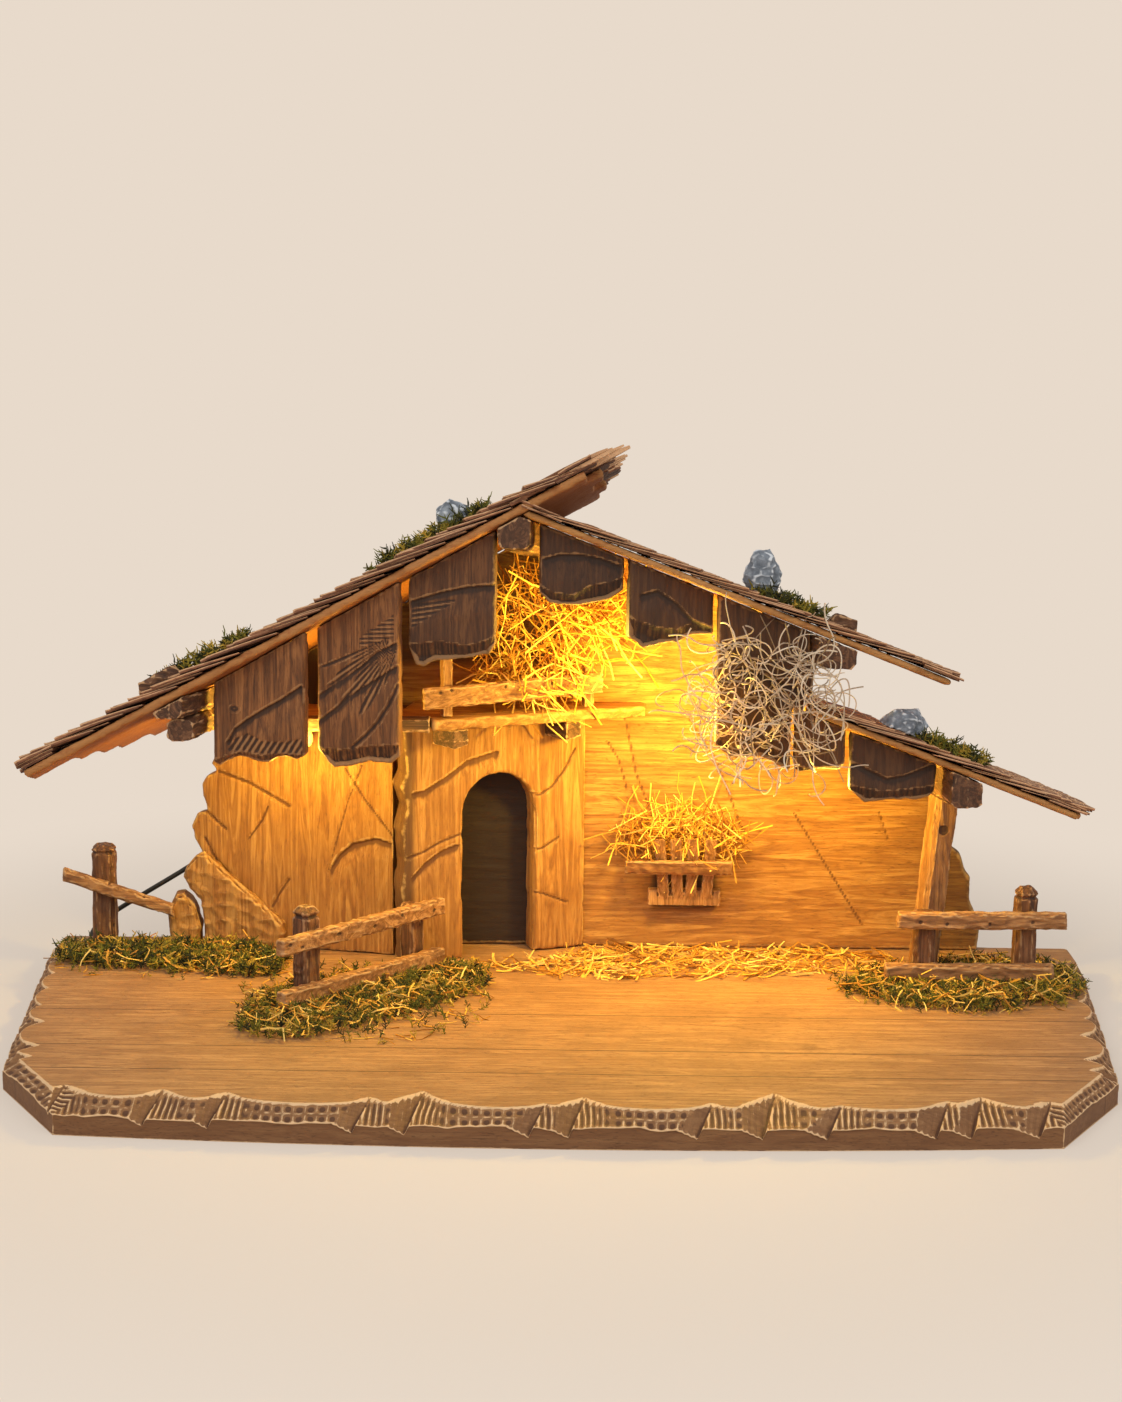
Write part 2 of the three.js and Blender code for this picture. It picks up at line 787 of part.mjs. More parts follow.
function lamp(x, y, top, space = aboveRight) {
  const profile = [[0, -14], [2.2, -13.4], [3.6, -11], [3.6, -7.5], [2.6, -5], [2.6, -3], [3.8, -3], [3.8, 3], [0, 3]];
  return cut(turned(profile, 10).translate(x, y, top), space);
}

// Lead: a free tube, its coil behind the house and the plug

const leadRoute = [
  [-179.94, 139.7, 84],
  [-178.9, 144.5, 84],
  [-181.6, 151.5, 83.2],
  [-188.5, 156, 79.8],
  [-200, 157.5, 72.8],
  [-213.9, 157.5, 63.6],
  [-228.2, 157.5, 54.2],
  [-246.2, 157.5, 43],
  [-262, 158, 33],
  [-273, 160, 25],
  [-281, 164, 16.5],
  [-284, 170.5, 9],
  [-280.5, 178.5, 4],
  [-271, 184.5, 1.9],
  [-257, 185.5, 1.8],
  [-241, 180, 1.8],
  [-224, 171, 1.8],
  [-207, 163.5, 2.6],
  [-193, 161.2, 5.6],
  [-180, 161, 9.8],
  [-170, 161, 12],
  [-163.3, 161, 12.3],
];

function sectionCircle(radius, sides) {
  const points = [];
  for (let i = 0; i < sides; i += 1) {
    const angle = (2 * Math.PI * i) / sides;
    points.push([radius * Math.cos(angle), radius * Math.sin(angle)]);
  }
  return points;
}

function leadCurve() {
  return new THREE.CatmullRomCurve3(leadRoute.map((point) => new THREE.Vector3(...point)), false, 'centripetal');
}

function freeLead() {
  const curve = leadCurve();
  const section = new THREE.Shape(
    sectionCircle(leadRadius, leadSides).map(([x, y]) => new THREE.Vector2(x, y)),
  );
  return new THREE.ExtrudeGeometry(section, {
    steps: Math.round(curve.getLength() / (2.5 * 2 * leadRadius)),
    bevelEnabled: false,
    extrudePath: curve,
  });
}

// Centre of the coiled lead after a number of turns, from the top layer down
function coilPoint(turns) {
  const layer = Math.floor(Math.min(turns, coilLayers * coilTurnsPerLayer - 1e-6) / coilTurnsPerLayer);
  const within = turns - layer * coilTurnsPerLayer;
  const inward = layer % 2 === 0;
  const wound = inward ? within : coilTurnsPerLayer - within;
  const radius = coilOuterRadius - coilPitch * wound;
  const nearest = Math.round(turns / coilTurnsPerLayer);
  const isReversal = nearest > 0 && nearest < coilLayers;
  const descent = isReversal ? Math.min(Math.max((turns - nearest * coilTurnsPerLayer) * 2 + 0.5, 0), 1) : 0;
  const layersDown = isReversal ? nearest - 1 + descent : layer;
  const angle = 2 * Math.PI * turns - Math.PI / 2;
  return new THREE.Vector3(
    coilCentre[0] + radius * Math.cos(angle),
    coilCentre[1] + radius * Math.sin(angle),
    leadRadius + gap + coilPitch * (coilLayers - 1 - layersDown),
  );
}

function coilPath() {
  const points = [];
  const first = coilPoint(0);
  points.push(first.clone().add(new THREE.Vector3(-2 * leadRadius, 0, 0)));
  for (let i = 0; i <= coilLayers * coilTurnsPerLayer * coilSteps; i += 1) {
    points.push(coilPoint(i / coilSteps));
  }
  const last = points.at(-1);
  const rise = plugAxisHeight - last.z;
  for (const [run, share] of [[6, 0], [12, 0.25], [18, 0.75], [24, 1], [27.5, 1]]) {
    points.push(last.clone().add(new THREE.Vector3(run, 0, rise * share)));
  }
  return points;
}

function leastSelfGap(points) {
  let least = Infinity;
  for (let i = 0; i < points.length; i += 1) {
    for (let j = i + Math.floor(coilSteps / 2); j < points.length; j += 1) {
      least = Math.min(least, points[i].distanceTo(points[j]) - 2 * leadRadius);
    }
  }
  return least;
}

// Rings of the section at each path point, level with the ground sideways, capped at both ends
function tube(path, radius, sides) {
  const positions = [];
  const section = sectionCircle(radius, sides);
  const up = new THREE.Vector3(0, 0, 1);
  path.forEach((point, i) => {
    const before = path[Math.max(i - 1, 0)];
    const after = path[Math.min(i + 1, path.length - 1)];
    const along = after.clone().sub(before).normalize();
    const side = along.clone().cross(up).normalize();
    const over = side.clone().cross(along);
    for (const [a, b] of section) {
      const corner = point.clone().addScaledVector(side, a).addScaledVector(over, b);
      positions.push(corner.x, corner.y, corner.z);
    }
  });
  const index = [];
  for (let ring = 0; ring < path.length - 1; ring += 1) {
    for (let i = 0; i < sides; i += 1) {
      const [a, b] = [ring * sides + i, ring * sides + ((i + 1) % sides)];
      index.push(a, a + sides, b, b, a + sides, b + sides);
    }
  }
  const end = (path.length - 1) * sides;
  for (let i = 1; i < sides - 1; i += 1) {
    index.push(0, i, i + 1);
    index.push(end, end + i + 1, end + i);
  }
  const geometry = new THREE.BufferGeometry();
  geometry.setAttribute('position', new THREE.Float32BufferAttribute(positions, 3));
  geometry.setIndex(index);
  return geometry;
}

function plug() {
  const start = coilPath().at(-1).x + gap;
  const profile = [[0, 0], [2.1, 0], [3.4, 8], [3.5, 9], [3.5, 24], [2.8, 25], [1.9, 25], [1.9, 34], [1.5, 34.6], [0, 34.6]];
  return new THREE.LatheGeometry(profile.map(([r, h]) => new THREE.Vector2(r, h)), 12)
    .rotateZ(-Math.PI / 2)
    .translate(start, coilPath().at(-1).y, plugAxisHeight);
}

// Assembly

const stable = new THREE.Group();
stable.name = 'nativity_stable';

function add(name, geometry, look, lift = baseHeight) {
  const [color, roughness] = looks[look];
  const material = new THREE.MeshStandardMaterial({ color, roughness, metalness: 0 });
  const mesh = new THREE.Mesh(geometry.translate(0, 0, lift), material);
  mesh.name = name;
  stable.add(mesh);
}

add('base_board', baseBoard(), 'baseWood', 0);
add('back_wall', backWall(), 'wallWood');
add('left_wall', leftWall(), 'wallWood');
add('door_wall', doorWall(), 'wallWood');
add('rock_slab', rockSlab(), 'wallWood');
add('rock_block', rockBlock(), 'wallWood');

add('loft_floor', loftFloor(), 'wallWood');
add('loft_bracket_left', loftBracket([-58.7, 88]), 'beamWood');
add('loft_bracket_right', loftBracket([4.2, 113.5]), 'beamWood');
add('loft_post_left', loftPost(loftPosts.left), 'railWood');
add('loft_post_right', loftPost(loftPosts.right), 'railWood');
add('loft_rail', loftRail(), 'railWood');
add('tie_beam', tieBeam(), 'beamWood');

for (const [i, board] of gableBoards.entries()) {
  add(`gable_board_${i + 1}`, gableBoard(board), 'boardWood');
}

add('ridge_beam', cut(beam(ridgeBeam), aboveLeft, aboveRight, behindBackWall), 'beamWood');
add('purlin_left', cut(beam(leftPurlin), aboveLeft, behindLeftWall), 'beamWood');
add('eave_beam_left', cut(beam(eaveBeam), aboveLeft, behindLeftWall), 'beamWood');
add('purlin_right', cut(beam(rightPurlin), aboveRight, behindBackWall), 'beamWood');
add('purlin_right_low', cut(beam(lowerPurlin), aboveLower, behindBackWall), 'beamWood');
add('right_post', standRightPost(), 'beamWood');

add('left_roof_boards', roofStrips(leftRoof, leftEaveEnds, leftRidgeEnds.map((x) => x - 4), boardOutline), 'beamWood');
add('left_roof_shingles', leftShingles(), 'shingleWood');
add('right_roof_boards', rightBoards(), 'beamWood');
add('right_roof_shingles', rightShingles(), 'shingleWood');
const lowerStarts = lowerEaveEnds.map(() => lowerRoofStart);
add('lower_roof_boards', roofStrips(lowerRoof, lowerEaveEnds.map((x) => x - 2), lowerStarts, boardOutline), 'beamWood');
add('lower_roof_shingles', roofStrips(lowerRoof, lowerEaveEnds, lowerStarts, shingleOutline), 'shingleWood');

add('roof_stone_left', roofStone(leftRoof, -61.5, 48, [18, 14, 13], 0.4), 'rock');
add('roof_stone_right', roofStone(rightRoof, 106, 52, [14, 13, 30], 1.1), 'rock');
add('roof_stone_lower', roofStone(lowerRoof, 185, 50, [24, 16, 15], 2.3), 'rock');

add('fence_post_front_left', fencePost(...posts.frontLeft), 'railWood');
add('fence_post_front_right', fencePost(...posts.frontRight), 'railWood');
add('fence_rail_front_low', fenceRail(frontFence, { from: 0, to: 125, bottom: lowRail }), 'railWood');
add('fence_rail_front_top', fenceRail(frontFence, { from: 0, to: 125, bottom: highRail }), 'railWood');
add('fence_post_right_inner', fencePost(...posts.rightInner), 'railWood');
add('fence_post_right_outer', fencePost(...posts.rightOuter), 'railWood');
add('fence_rail_right_low', fenceRail(rightFence, { from: 0, to: 96.5, bottom: 3.5 }), 'railWood');
add('fence_rail_right_top', fenceRail(rightFence, { from: 6.5, to: 102.5, bottom: 33.5 }), 'railWood');
add('fence_post_back_left', fencePost(...posts.backLeft), 'railWood');
add('fence_rail_back_left', fenceRail(backFence, { from: 0, to: 65, bottom: 39.4, rise: -21 }, 8), 'railWood');

add('manger_top_rail', mangerTopRail(), 'railWood');
add('manger_rack', mangerRack(), 'railWood');

add('lamp_left', lamp(-147, 100, loftFloorHeight, block([-160, -130], [90, 110], [loftFloorHeight - gap, 200])), 'lamp');
add('lamp_gable', lamp(8, 62, undersideAt(rightRoof, 8, 62)), 'lamp');
add('lamp_right', lamp(104, 80, undersideAt(rightRoof, 104, 80)), 'lamp');

add('loft_hay', loftHay(), 'hay');
add('manger_hay', mangerHay(), 'hay');
add('lichen', lichen(), 'lichen');
add('ground_moss_left', leftMoss(), 'moss');
add('ground_moss_front', frontMoss(), 'moss');
add('ground_moss_right', rightMoss(), 'moss');

add('lamp_cord', freeLead(), 'lead', 0);
add('cord_coil', tube(coilPath(), leadRadius, coilSides), 'lead', 0);
add('plug', plug(), 'lead', 0);
console.log(`coil gap to itself ${leastSelfGap(coilPath()).toFixed(2)} mm`);

export default stable;
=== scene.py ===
import json
import math
import random

import bmesh
import bpy
import numpy as np
from mathutils import Matrix, Vector

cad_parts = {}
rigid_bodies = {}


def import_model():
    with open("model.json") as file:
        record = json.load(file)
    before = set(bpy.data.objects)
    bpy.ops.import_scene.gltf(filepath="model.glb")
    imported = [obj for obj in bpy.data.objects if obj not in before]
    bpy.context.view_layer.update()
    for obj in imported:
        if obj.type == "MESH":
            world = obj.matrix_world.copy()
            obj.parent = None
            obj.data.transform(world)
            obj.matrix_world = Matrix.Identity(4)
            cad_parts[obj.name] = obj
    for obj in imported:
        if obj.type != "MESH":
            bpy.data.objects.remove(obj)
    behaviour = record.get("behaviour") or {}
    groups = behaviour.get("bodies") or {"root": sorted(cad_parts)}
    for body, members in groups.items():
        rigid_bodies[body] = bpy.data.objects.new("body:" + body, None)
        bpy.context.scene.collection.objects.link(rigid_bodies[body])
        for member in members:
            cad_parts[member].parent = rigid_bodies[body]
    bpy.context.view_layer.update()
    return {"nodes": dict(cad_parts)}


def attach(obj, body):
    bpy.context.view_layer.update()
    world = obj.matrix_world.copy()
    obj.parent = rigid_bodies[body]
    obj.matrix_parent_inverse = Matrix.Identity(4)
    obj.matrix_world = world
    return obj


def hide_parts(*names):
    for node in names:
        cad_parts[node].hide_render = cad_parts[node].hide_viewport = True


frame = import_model()
scene = bpy.context.scene
print("frame loaded:", len(frame["nodes"]), "nodes")

# Everything below is thought of in millimetres and handed to Blender in metres.
mm = 0.001
deck = 18.0


def linear(red, green, blue):
    # an sRGB colour, 0 to 255, as a shader takes it
    def channel(value):
        share = value / 255
        return share / 12.92 if share <= 0.04045 else ((share + 0.055) / 1.055) ** 2.4
    return channel(red), channel(green), channel(blue), 1.0


# camera

cameraPlace = {
    "at": (17, -1557, 509), "yaw": -0.70, "pitch": 11.5, "roll": 0.55, "lens": 96.26,
}


def placeCamera(place):
    yaw, pitch, roll = (math.radians(place[key]) for key in ("yaw", "pitch", "roll"))
    ahead = Vector((math.sin(yaw) * math.cos(pitch), math.cos(yaw) * math.cos(pitch), -math.sin(pitch)))
    level = Vector((math.cos(yaw), -math.sin(yaw), 0))
    upright = level.cross(ahead)
    right = math.cos(roll) * level + math.sin(roll) * upright
    top = math.cos(roll) * upright - math.sin(roll) * level
    data = bpy.data.cameras.new("camera")
    data.sensor_fit = "HORIZONTAL"
    data.sensor_width = 36
    data.lens = place["lens"]
    data.clip_start = 0.05
    data.clip_end = 20
    camera = bpy.data.objects.new("camera", data)
    turned = Matrix((right, top, -ahead)).transposed().to_4x4()
    camera.matrix_world = Matrix.Translation(Vector(place["at"]) * mm) @ turned
    scene.collection.objects.link(camera)
    scene.camera = camera


placeCamera(cameraPlace)


# node trees: arithmetic on a wire adds Math nodes

class Wire:
    def __init__(self, tree, socket=None):
        self.tree = tree
        self.socket = socket

    def node(self, kind, settings=None, inputs=None, out=0):
        made = self.tree.nodes.new(kind)
        for name, value in (settings or {}).items():
            if name == "stops":
                setStops(made.color_ramp, value)
            else:
                setattr(made, name, value)
        for name, value in (inputs or {}).items():
            if isinstance(value, Wire):
                self.tree.links.new(value.socket, made.inputs[name])
            else:
                made.inputs[name].default_value = value
        return Wire(self.tree, made.outputs[out] if made.outputs else None)

    def maths(self, operation, *values):
        return self.node("ShaderNodeMath", {"operation": operation}, dict(enumerate(values)))

    def also(self, out):
        # another output of the same node
        return Wire(self.tree, self.socket.node.outputs[out])

    def __add__(self, other):
        return self.maths("ADD", self, other)

    def __radd__(self, other):
        return self.maths("ADD", other, self)

    def __sub__(self, other):
        return self.maths("SUBTRACT", self, other)

    def __rsub__(self, other):
        return self.maths("SUBTRACT", other, self)

    def __mul__(self, other):
        return self.maths("MULTIPLY", self, other)

    def __rmul__(self, other):
        return self.maths("MULTIPLY", other, self)

    def ramped(self, low, high):
        # 0 below low, 1 above high, smooth between
        return self.node("ShaderNodeMapRange", {"interpolation_type": "SMOOTHSTEP"},
                         {"Value": self, "From Min": low, "From Max": high})

    def scaled(self, scale):
        return self.node("ShaderNodeVectorMath", {"operation": "MULTIPLY"}, {0: self, 1: scale})

    def noise(self, scale, detail=4.0, roughness=0.55, distortion=0.0):
        return self.node("ShaderNodeTexNoise", {}, {
            "Vector": self, "Scale": scale, "Detail": detail, "Roughness": roughness,
            "Distortion": distortion,
        })

    def mixed(self, first, second):
        # this wire is the share of the second colour
        return self.node("ShaderNodeMix", {"data_type": "RGBA"}, {0: self, 6: first, 7: second}, out=2)

    def coloured(self, stops):
        return self.node("ShaderNodeValToRGB", {"stops": stops}, {"Fac": self})


def linearStops(stops):
    return [(position, linear(*colour)) for position, colour in stops]


def setStops(ramp, stops):
    while len(ramp.elements) > 1:
        ramp.elements.remove(ramp.elements[-1])
    ramp.elements[0].position, ramp.elements[0].color = stops[0]
    for position, colour in stops[1:]:
        ramp.elements.new(position).color = colour


def newMaterial(name):
    material = bpy.data.materials.new(name)
    material.use_nodes = True
    material.node_tree.nodes.clear()
    return material, Wire(material.node_tree)


def objectPlace(start):
    # Object coordinates in millimetres
    return start.node("ShaderNodeTexCoord", out="Object").scaled((1000, 1000, 1000))


def attribute(start, name):
    return start.node("ShaderNodeAttribute", {"attribute_name": name}, out="Fac")


def bumped(start, height, depth):
    return start.node("ShaderNodeBump", {}, {"Height": height, "Strength": 1.0, "Distance": depth * mm})


def finishMaterial(start, colour, roughness, height, depth):
    # the closing part of most materials: shader, bump and output
    shader = start.node("ShaderNodeBsdfPrincipled", {}, {
        "Base Color": colour, "Roughness": roughness, "Normal": bumped(start, height, depth),
    })
    start.node("ShaderNodeOutputMaterial", {}, {"Surface": shader})


# lead, coil and plug

lead = {
    "radius": 1.5, "gap": 0.3, "black": (24, 23, 22), "scuffed": (46, 44, 41),
    "route": [
        (-179.94, 139.7, 84), (-178.9, 144.5, 84), (-181.6, 151.5, 83.2), (-188.5, 156, 79.8),
        (-200, 157.5, 72.8), (-213.9, 157.5, 63.6), (-228.2, 157.5, 54.2), (-246.2, 157.5, 43),
        (-262, 158, 33), (-273, 160, 25), (-281, 164, 16.5), (-284, 170.5, 9), (-280.5, 178.5, 4),
        (-271, 184.5, 1.9), (-257, 185.5, 1.8), (-241, 180, 1.8), (-224, 171, 1.8), (-207, 163.5, 2.6),
        (-193, 161.2, 5.6), (-180, 161, 9.8), (-170, 161, 12), (-163.3, 161, 12.3),
    ],
    "coilCentre": (-160, 184), "coilRadius": 23, "pitch": 3.5, "layers": 4, "turnsPerLayer": 3,
    "stepsPerTurn": 24, "plugAxisHeight": 3.8,
    "tail": [(6, 0), (12, 0.25), (18, 0.75), (24, 1), (27.5, 1)],
}


def blended(t, knots, low, high, first, second):
    # from the first point at one knot to the second at another
    span = knots[high] - knots[low]
    return (knots[high] - t) / span * first + (t - knots[low]) / span * second


def throughPoints(points, perSpan):
    # centripetal Catmull-Rom curve through points
    points = [np.array(point, float) for point in points]
    ends = [2 * points[0] - points[1], *points, 2 * points[-1] - points[-2]]
    sampled = []
    for corners in zip(ends, ends[1:], ends[2:], ends[3:]):
        spans = [np.linalg.norm(b - a) ** 0.5 for a, b in zip(corners, corners[1:])]
        knots = np.cumsum([0] + spans)
        for step in range(perSpan):
            t = knots[1] + (knots[2] - knots[1]) * step / perSpan
            near = [blended(t, knots, i, i + 1, corners[i], corners[i + 1]) for i in range(3)]
            wide = [blended(t, knots, i, i + 2, near[i], near[i + 1]) for i in range(2)]
            sampled.append(blended(t, knots, 1, 2, *wide))
    return sampled + [points[-1]]


def coilPoint(turns):
    # a point of the coil, wound in and out again in flat layers, so many turns from its start
    perLayer, layers = lead["turnsPerLayer"], lead["layers"]
    layer = math.floor(min(turns, layers * perLayer - 1e-6) / perLayer)
    within = turns - layer * perLayer
    wound = within if layer % 2 == 0 else perLayer - within
    radius = lead["coilRadius"] - lead["pitch"] * wound
    nearest = round(turns / perLayer)
    down = layer
    if 0 < nearest < layers:
        down = nearest - 1 + min(max((turns - nearest * perLayer) * 2 + 0.5, 0), 1)
    angle = 2 * math.pi * turns - math.pi / 2
    x, y = lead["coilCentre"]
    height = lead["radius"] + lead["gap"] + lead["pitch"] * (layers - 1 - down)
    return np.array((x + radius * math.cos(angle), y + radius * math.sin(angle), height))


def leadPath():
    steps = lead["layers"] * lead["turnsPerLayer"] * lead["stepsPerTurn"]
    coil = [coilPoint(i / lead["stepsPerTurn"]) for i in range(steps + 1)]
    rise = lead["plugAxisHeight"] - coil[-1][2]
    tail = [coil[-1] + np.array((run, 0, rise * share)) for run, share in lead["tail"]]
    return throughPoints(lead["route"], 2) + coil + tail


def pathLength(points):
    return sum(float(np.linalg.norm(b - a)) for a, b in zip(points, points[1:]))


def makeLead():
    points = leadPath()
    curve = bpy.data.curves.new("lamp_lead", "CURVE")
    curve.dimensions = "3D"
    curve.bevel_depth = lead["radius"] * mm
    curve.bevel_resolution = 2
    curve.use_fill_caps = True
    spline = curve.splines.new("POLY")
    spline.points.add(len(points) - 1)
    for target, point in zip(spline.points, points):
        target.co = (*(point * mm), 1)
    spline.use_smooth = True
    cable = bpy.data.objects.new("lamp_lead", curve)
    scene.collection.objects.link(cable)
    return cable, points


def leadPlastic():
    material, start = newMaterial("black_lead_plastic")
    place = start.node("ShaderNodeTexCoord", out="Object")
    scuffs = place.noise(160, 5, 0.7).ramped(0.5, 0.75)
    colour = scuffs.mixed(linear(*lead["black"]), linear(*lead["scuffed"]))
    finishMaterial(start, colour, 0.42 + 0.2 * scuffs, place.noise(900, 3), 0.04)
    return material


leadMaterial = leadPlastic()
cable, leadPoints = makeLead()
cable.data.materials.append(leadMaterial)
leadLength = pathLength(leadPoints) * mm
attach(cable, "root")
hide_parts("lamp_cord", "cord_coil")
tuple(leadPoints[0] * mm)
print("lead laid:", round(leadLength, 3), "m")


# stage and light

stage = {
    # shadowReach: from where to where the floor's shadows fade into its even tone
    # leastEven: the even tone's share inside that
    "floor": (232, 218, 203), "floorPatches": (229, 215, 200), "reach": 9000,
    "shadowReach": (330, 620), "leastEven": 0.45, "aim": (0, 0, 120),
    "key": {"at": (-700, -1500, 1700), "size": 1400, "power": 21, "tint": (1.0, 0.99, 0.98)},
    "fill": {"at": (1400, -900, 900), "size": 1200, "power": 6, "tint": (1.0, 0.99, 0.98)},
    "sky": 0.48, "skyTint": (1.0, 0.985, 0.965, 1.0),
}
glow = {
    "tint": (1.0, 0.71, 0.1), "radius": 9,
    "lamps": [
        {"at": (-150, 56, 146), "power": 0.62},
        {"at": (12, 58, 212), "power": 0.33},
        {"at": (66, 54, 172), "power": 1.2},
        {"at": (150, 50, 136), "power": 0.42},
    ],
}


def seenDirectly(start):
    # 1 where the camera sees a surface, also in a mirror or through glass
    ray = start.node("ShaderNodeLightPath", out="Is Camera Ray")
    seen = ray + ray.also("Is Glossy Ray") + ray.also("Is Transmission Ray")
    return start.maths("MINIMUM", seen, 1.0)


def paleSurface():
    material, start = newMaterial("pale_paper")
    place = start.node("ShaderNodeTexCoord", out="Object")
    tooth = place.noise(60, 3)
    paper = linear(*stage["floor"])
    tone = place.noise(1.2, 2).ramped(0.3, 0.7).mixed(paper, linear(*stage["floorPatches"]))
    lit = start.node("ShaderNodeBsdfPrincipled", {}, {
        "Base Color": tone, "Roughness": 0.95, "Normal": bumped(start, tooth, 0.02),
    })
    even = start.node("ShaderNodeEmission", {}, {"Color": paper})
    # far from the stable the camera sees the paper's own tone, near it the paper with its shadows
    away = start.node("ShaderNodeVectorMath", {"operation": "LENGTH"}, {0: place}, out="Value")
    near, far = stage["shadowReach"]
    least = stage["leastEven"]
    share = seenDirectly(start) * (least + (1 - least) * away.ramped(near * mm, far * mm))
    surface = start.node("ShaderNodeMixShader", {}, {0: share, 1: lit, 2: even})
    start.node("ShaderNodeOutputMaterial", {}, {"Surface": surface})
    return material


def makeStage():
    # the floor is left at the height on which the base stands
    reach = stage["reach"] * mm
    corners = [(-reach, -reach, 0), (reach, -reach, 0), (reach, reach, 0), (-reach, reach, 0)]
    mesh = bpy.data.meshes.new("studio_floor")
    mesh.from_pydata(corners, [], [(0, 1, 2, 3)])
    mesh.materials.append(paleSurface())
    floor = bpy.data.objects.new("studio_floor", mesh)
    scene.collection.objects.link(floor)


def makeSky():
    # soft light from all round, in front of which the camera sees the floor's own pale tone
    world = bpy.data.worlds.new("soft_sky")
    world.use_nodes = True
    world.node_tree.nodes.clear()
    start = Wire(world.node_tree)
    light = start.node("ShaderNodeBackground", {}, {"Color": stage["skyTint"], "Strength": stage["sky"]})
    even = start.node("ShaderNodeBackground", {}, {"Color": linear(*stage["floor"]), "Strength": 1.0})
    surface = start.node("ShaderNodeMixShader", {}, {0: seenDirectly(start), 1: light, 2: even})
    start.node("ShaderNodeOutputWorld", {}, {"Surface": surface})
    scene.world = world


def addLight(name, kind, at, power, tint, size):
    data = bpy.data.lights.new(name, kind)
    data.energy = power
    data.color = tint
    if kind == "AREA":
        data.size = size * mm
    else:
        data.shadow_soft_size = size * mm
    lamp = bpy.data.objects.new(name, data)
    lamp.visible_camera = False
    lamp.location = Vector(at) * mm
    aim = Vector(stage["aim"]) * mm - lamp.location
    lamp.rotation_euler = aim.to_track_quat("-Z", "Y").to_euler()
    scene.collection.objects.link(lamp)


def lightStage():
    for name in ("key", "fill"):
        light = stage[name]
        addLight(name + "_light", "AREA", light["at"], light["power"], light["tint"], light["size"])
    for i, bulb in enumerate(glow["lamps"]):
        addLight(f"bulb_light_{i + 1}", "POINT", bulb["at"], bulb["power"], glow["tint"], glow["radius"])
    makeSky()
    scene.view_settings.view_transform = "Standard"


makeStage()
lightStage()
print("stage and lights set")


# wood finishes

woods = {
    "board": {"dark": (80, 47, 22), "mid": (124, 76, 38), "light": (158, 104, 56),
              "worn": (196, 148, 96), "hollow": (38, 21, 11), "wear": 0.4},
    "wall": {"dark": (138, 86, 36), "mid": (174, 118, 54), "light": (200, 146, 76),
             "worn": (226, 182, 112), "hollow": (92, 50, 20), "wear": 0.5},
    "beam": {"dark": (58, 35, 20), "mid": (94, 60, 37), "light": (126, 86, 56),
             "worn": (206, 162, 116), "hollow": (36, 21, 12), "wear": 0.8},
    "rail": {"dark": (118, 74, 38), "mid": (164, 112, 64), "light": (194, 142, 88),
             "worn": (226, 184, 132), "hollow": (60, 34, 17), "wear": 0.42},
    "post": {"dark": (70, 40, 20), "mid": (112, 69, 37), "light": (146, 96, 56),
             "worn": (206, 160, 112), "hollow": (44, 25, 13), "wear": 0.5},
    "base": {"dark": (132, 90, 52), "mid": (170, 122, 74), "light": (198, 150, 96),
             "worn": (234, 194, 146), "hollow": (80, 46, 24), "wear": 0.9, "reach": 0.2},
    "shingle": {"dark": (92, 52, 30), "mid": (136, 84, 52), "light": (168, 110, 72),
                "worn": (226, 180, 134), "hollow": (40, 23, 14), "wear": 0.75},
}
grainLook = {
    # reach: how far from the middle of the pattern the darkest and the lightest wood lie
    # fibre, streak: how much shorter a pattern's scale is along the grain than across it
    # ownTone: how far the piece's own stain and, on the walls, painted shade take it to the colour
    # `toned`
    "reach": 0.13, "fibre": 0.07, "streak": 0.0245, "bump": 0.34, "seams": (), "ownTone": 0,
    # how much of the pattern each kind of grain makes
    "rings": 0.18, "bands": 0.27, "streaks": 0.35, "fibres": 0.2,
}


def drawnOut(grain, factor):
    return tuple(factor if axis == grain else 1 for axis in "xyz")


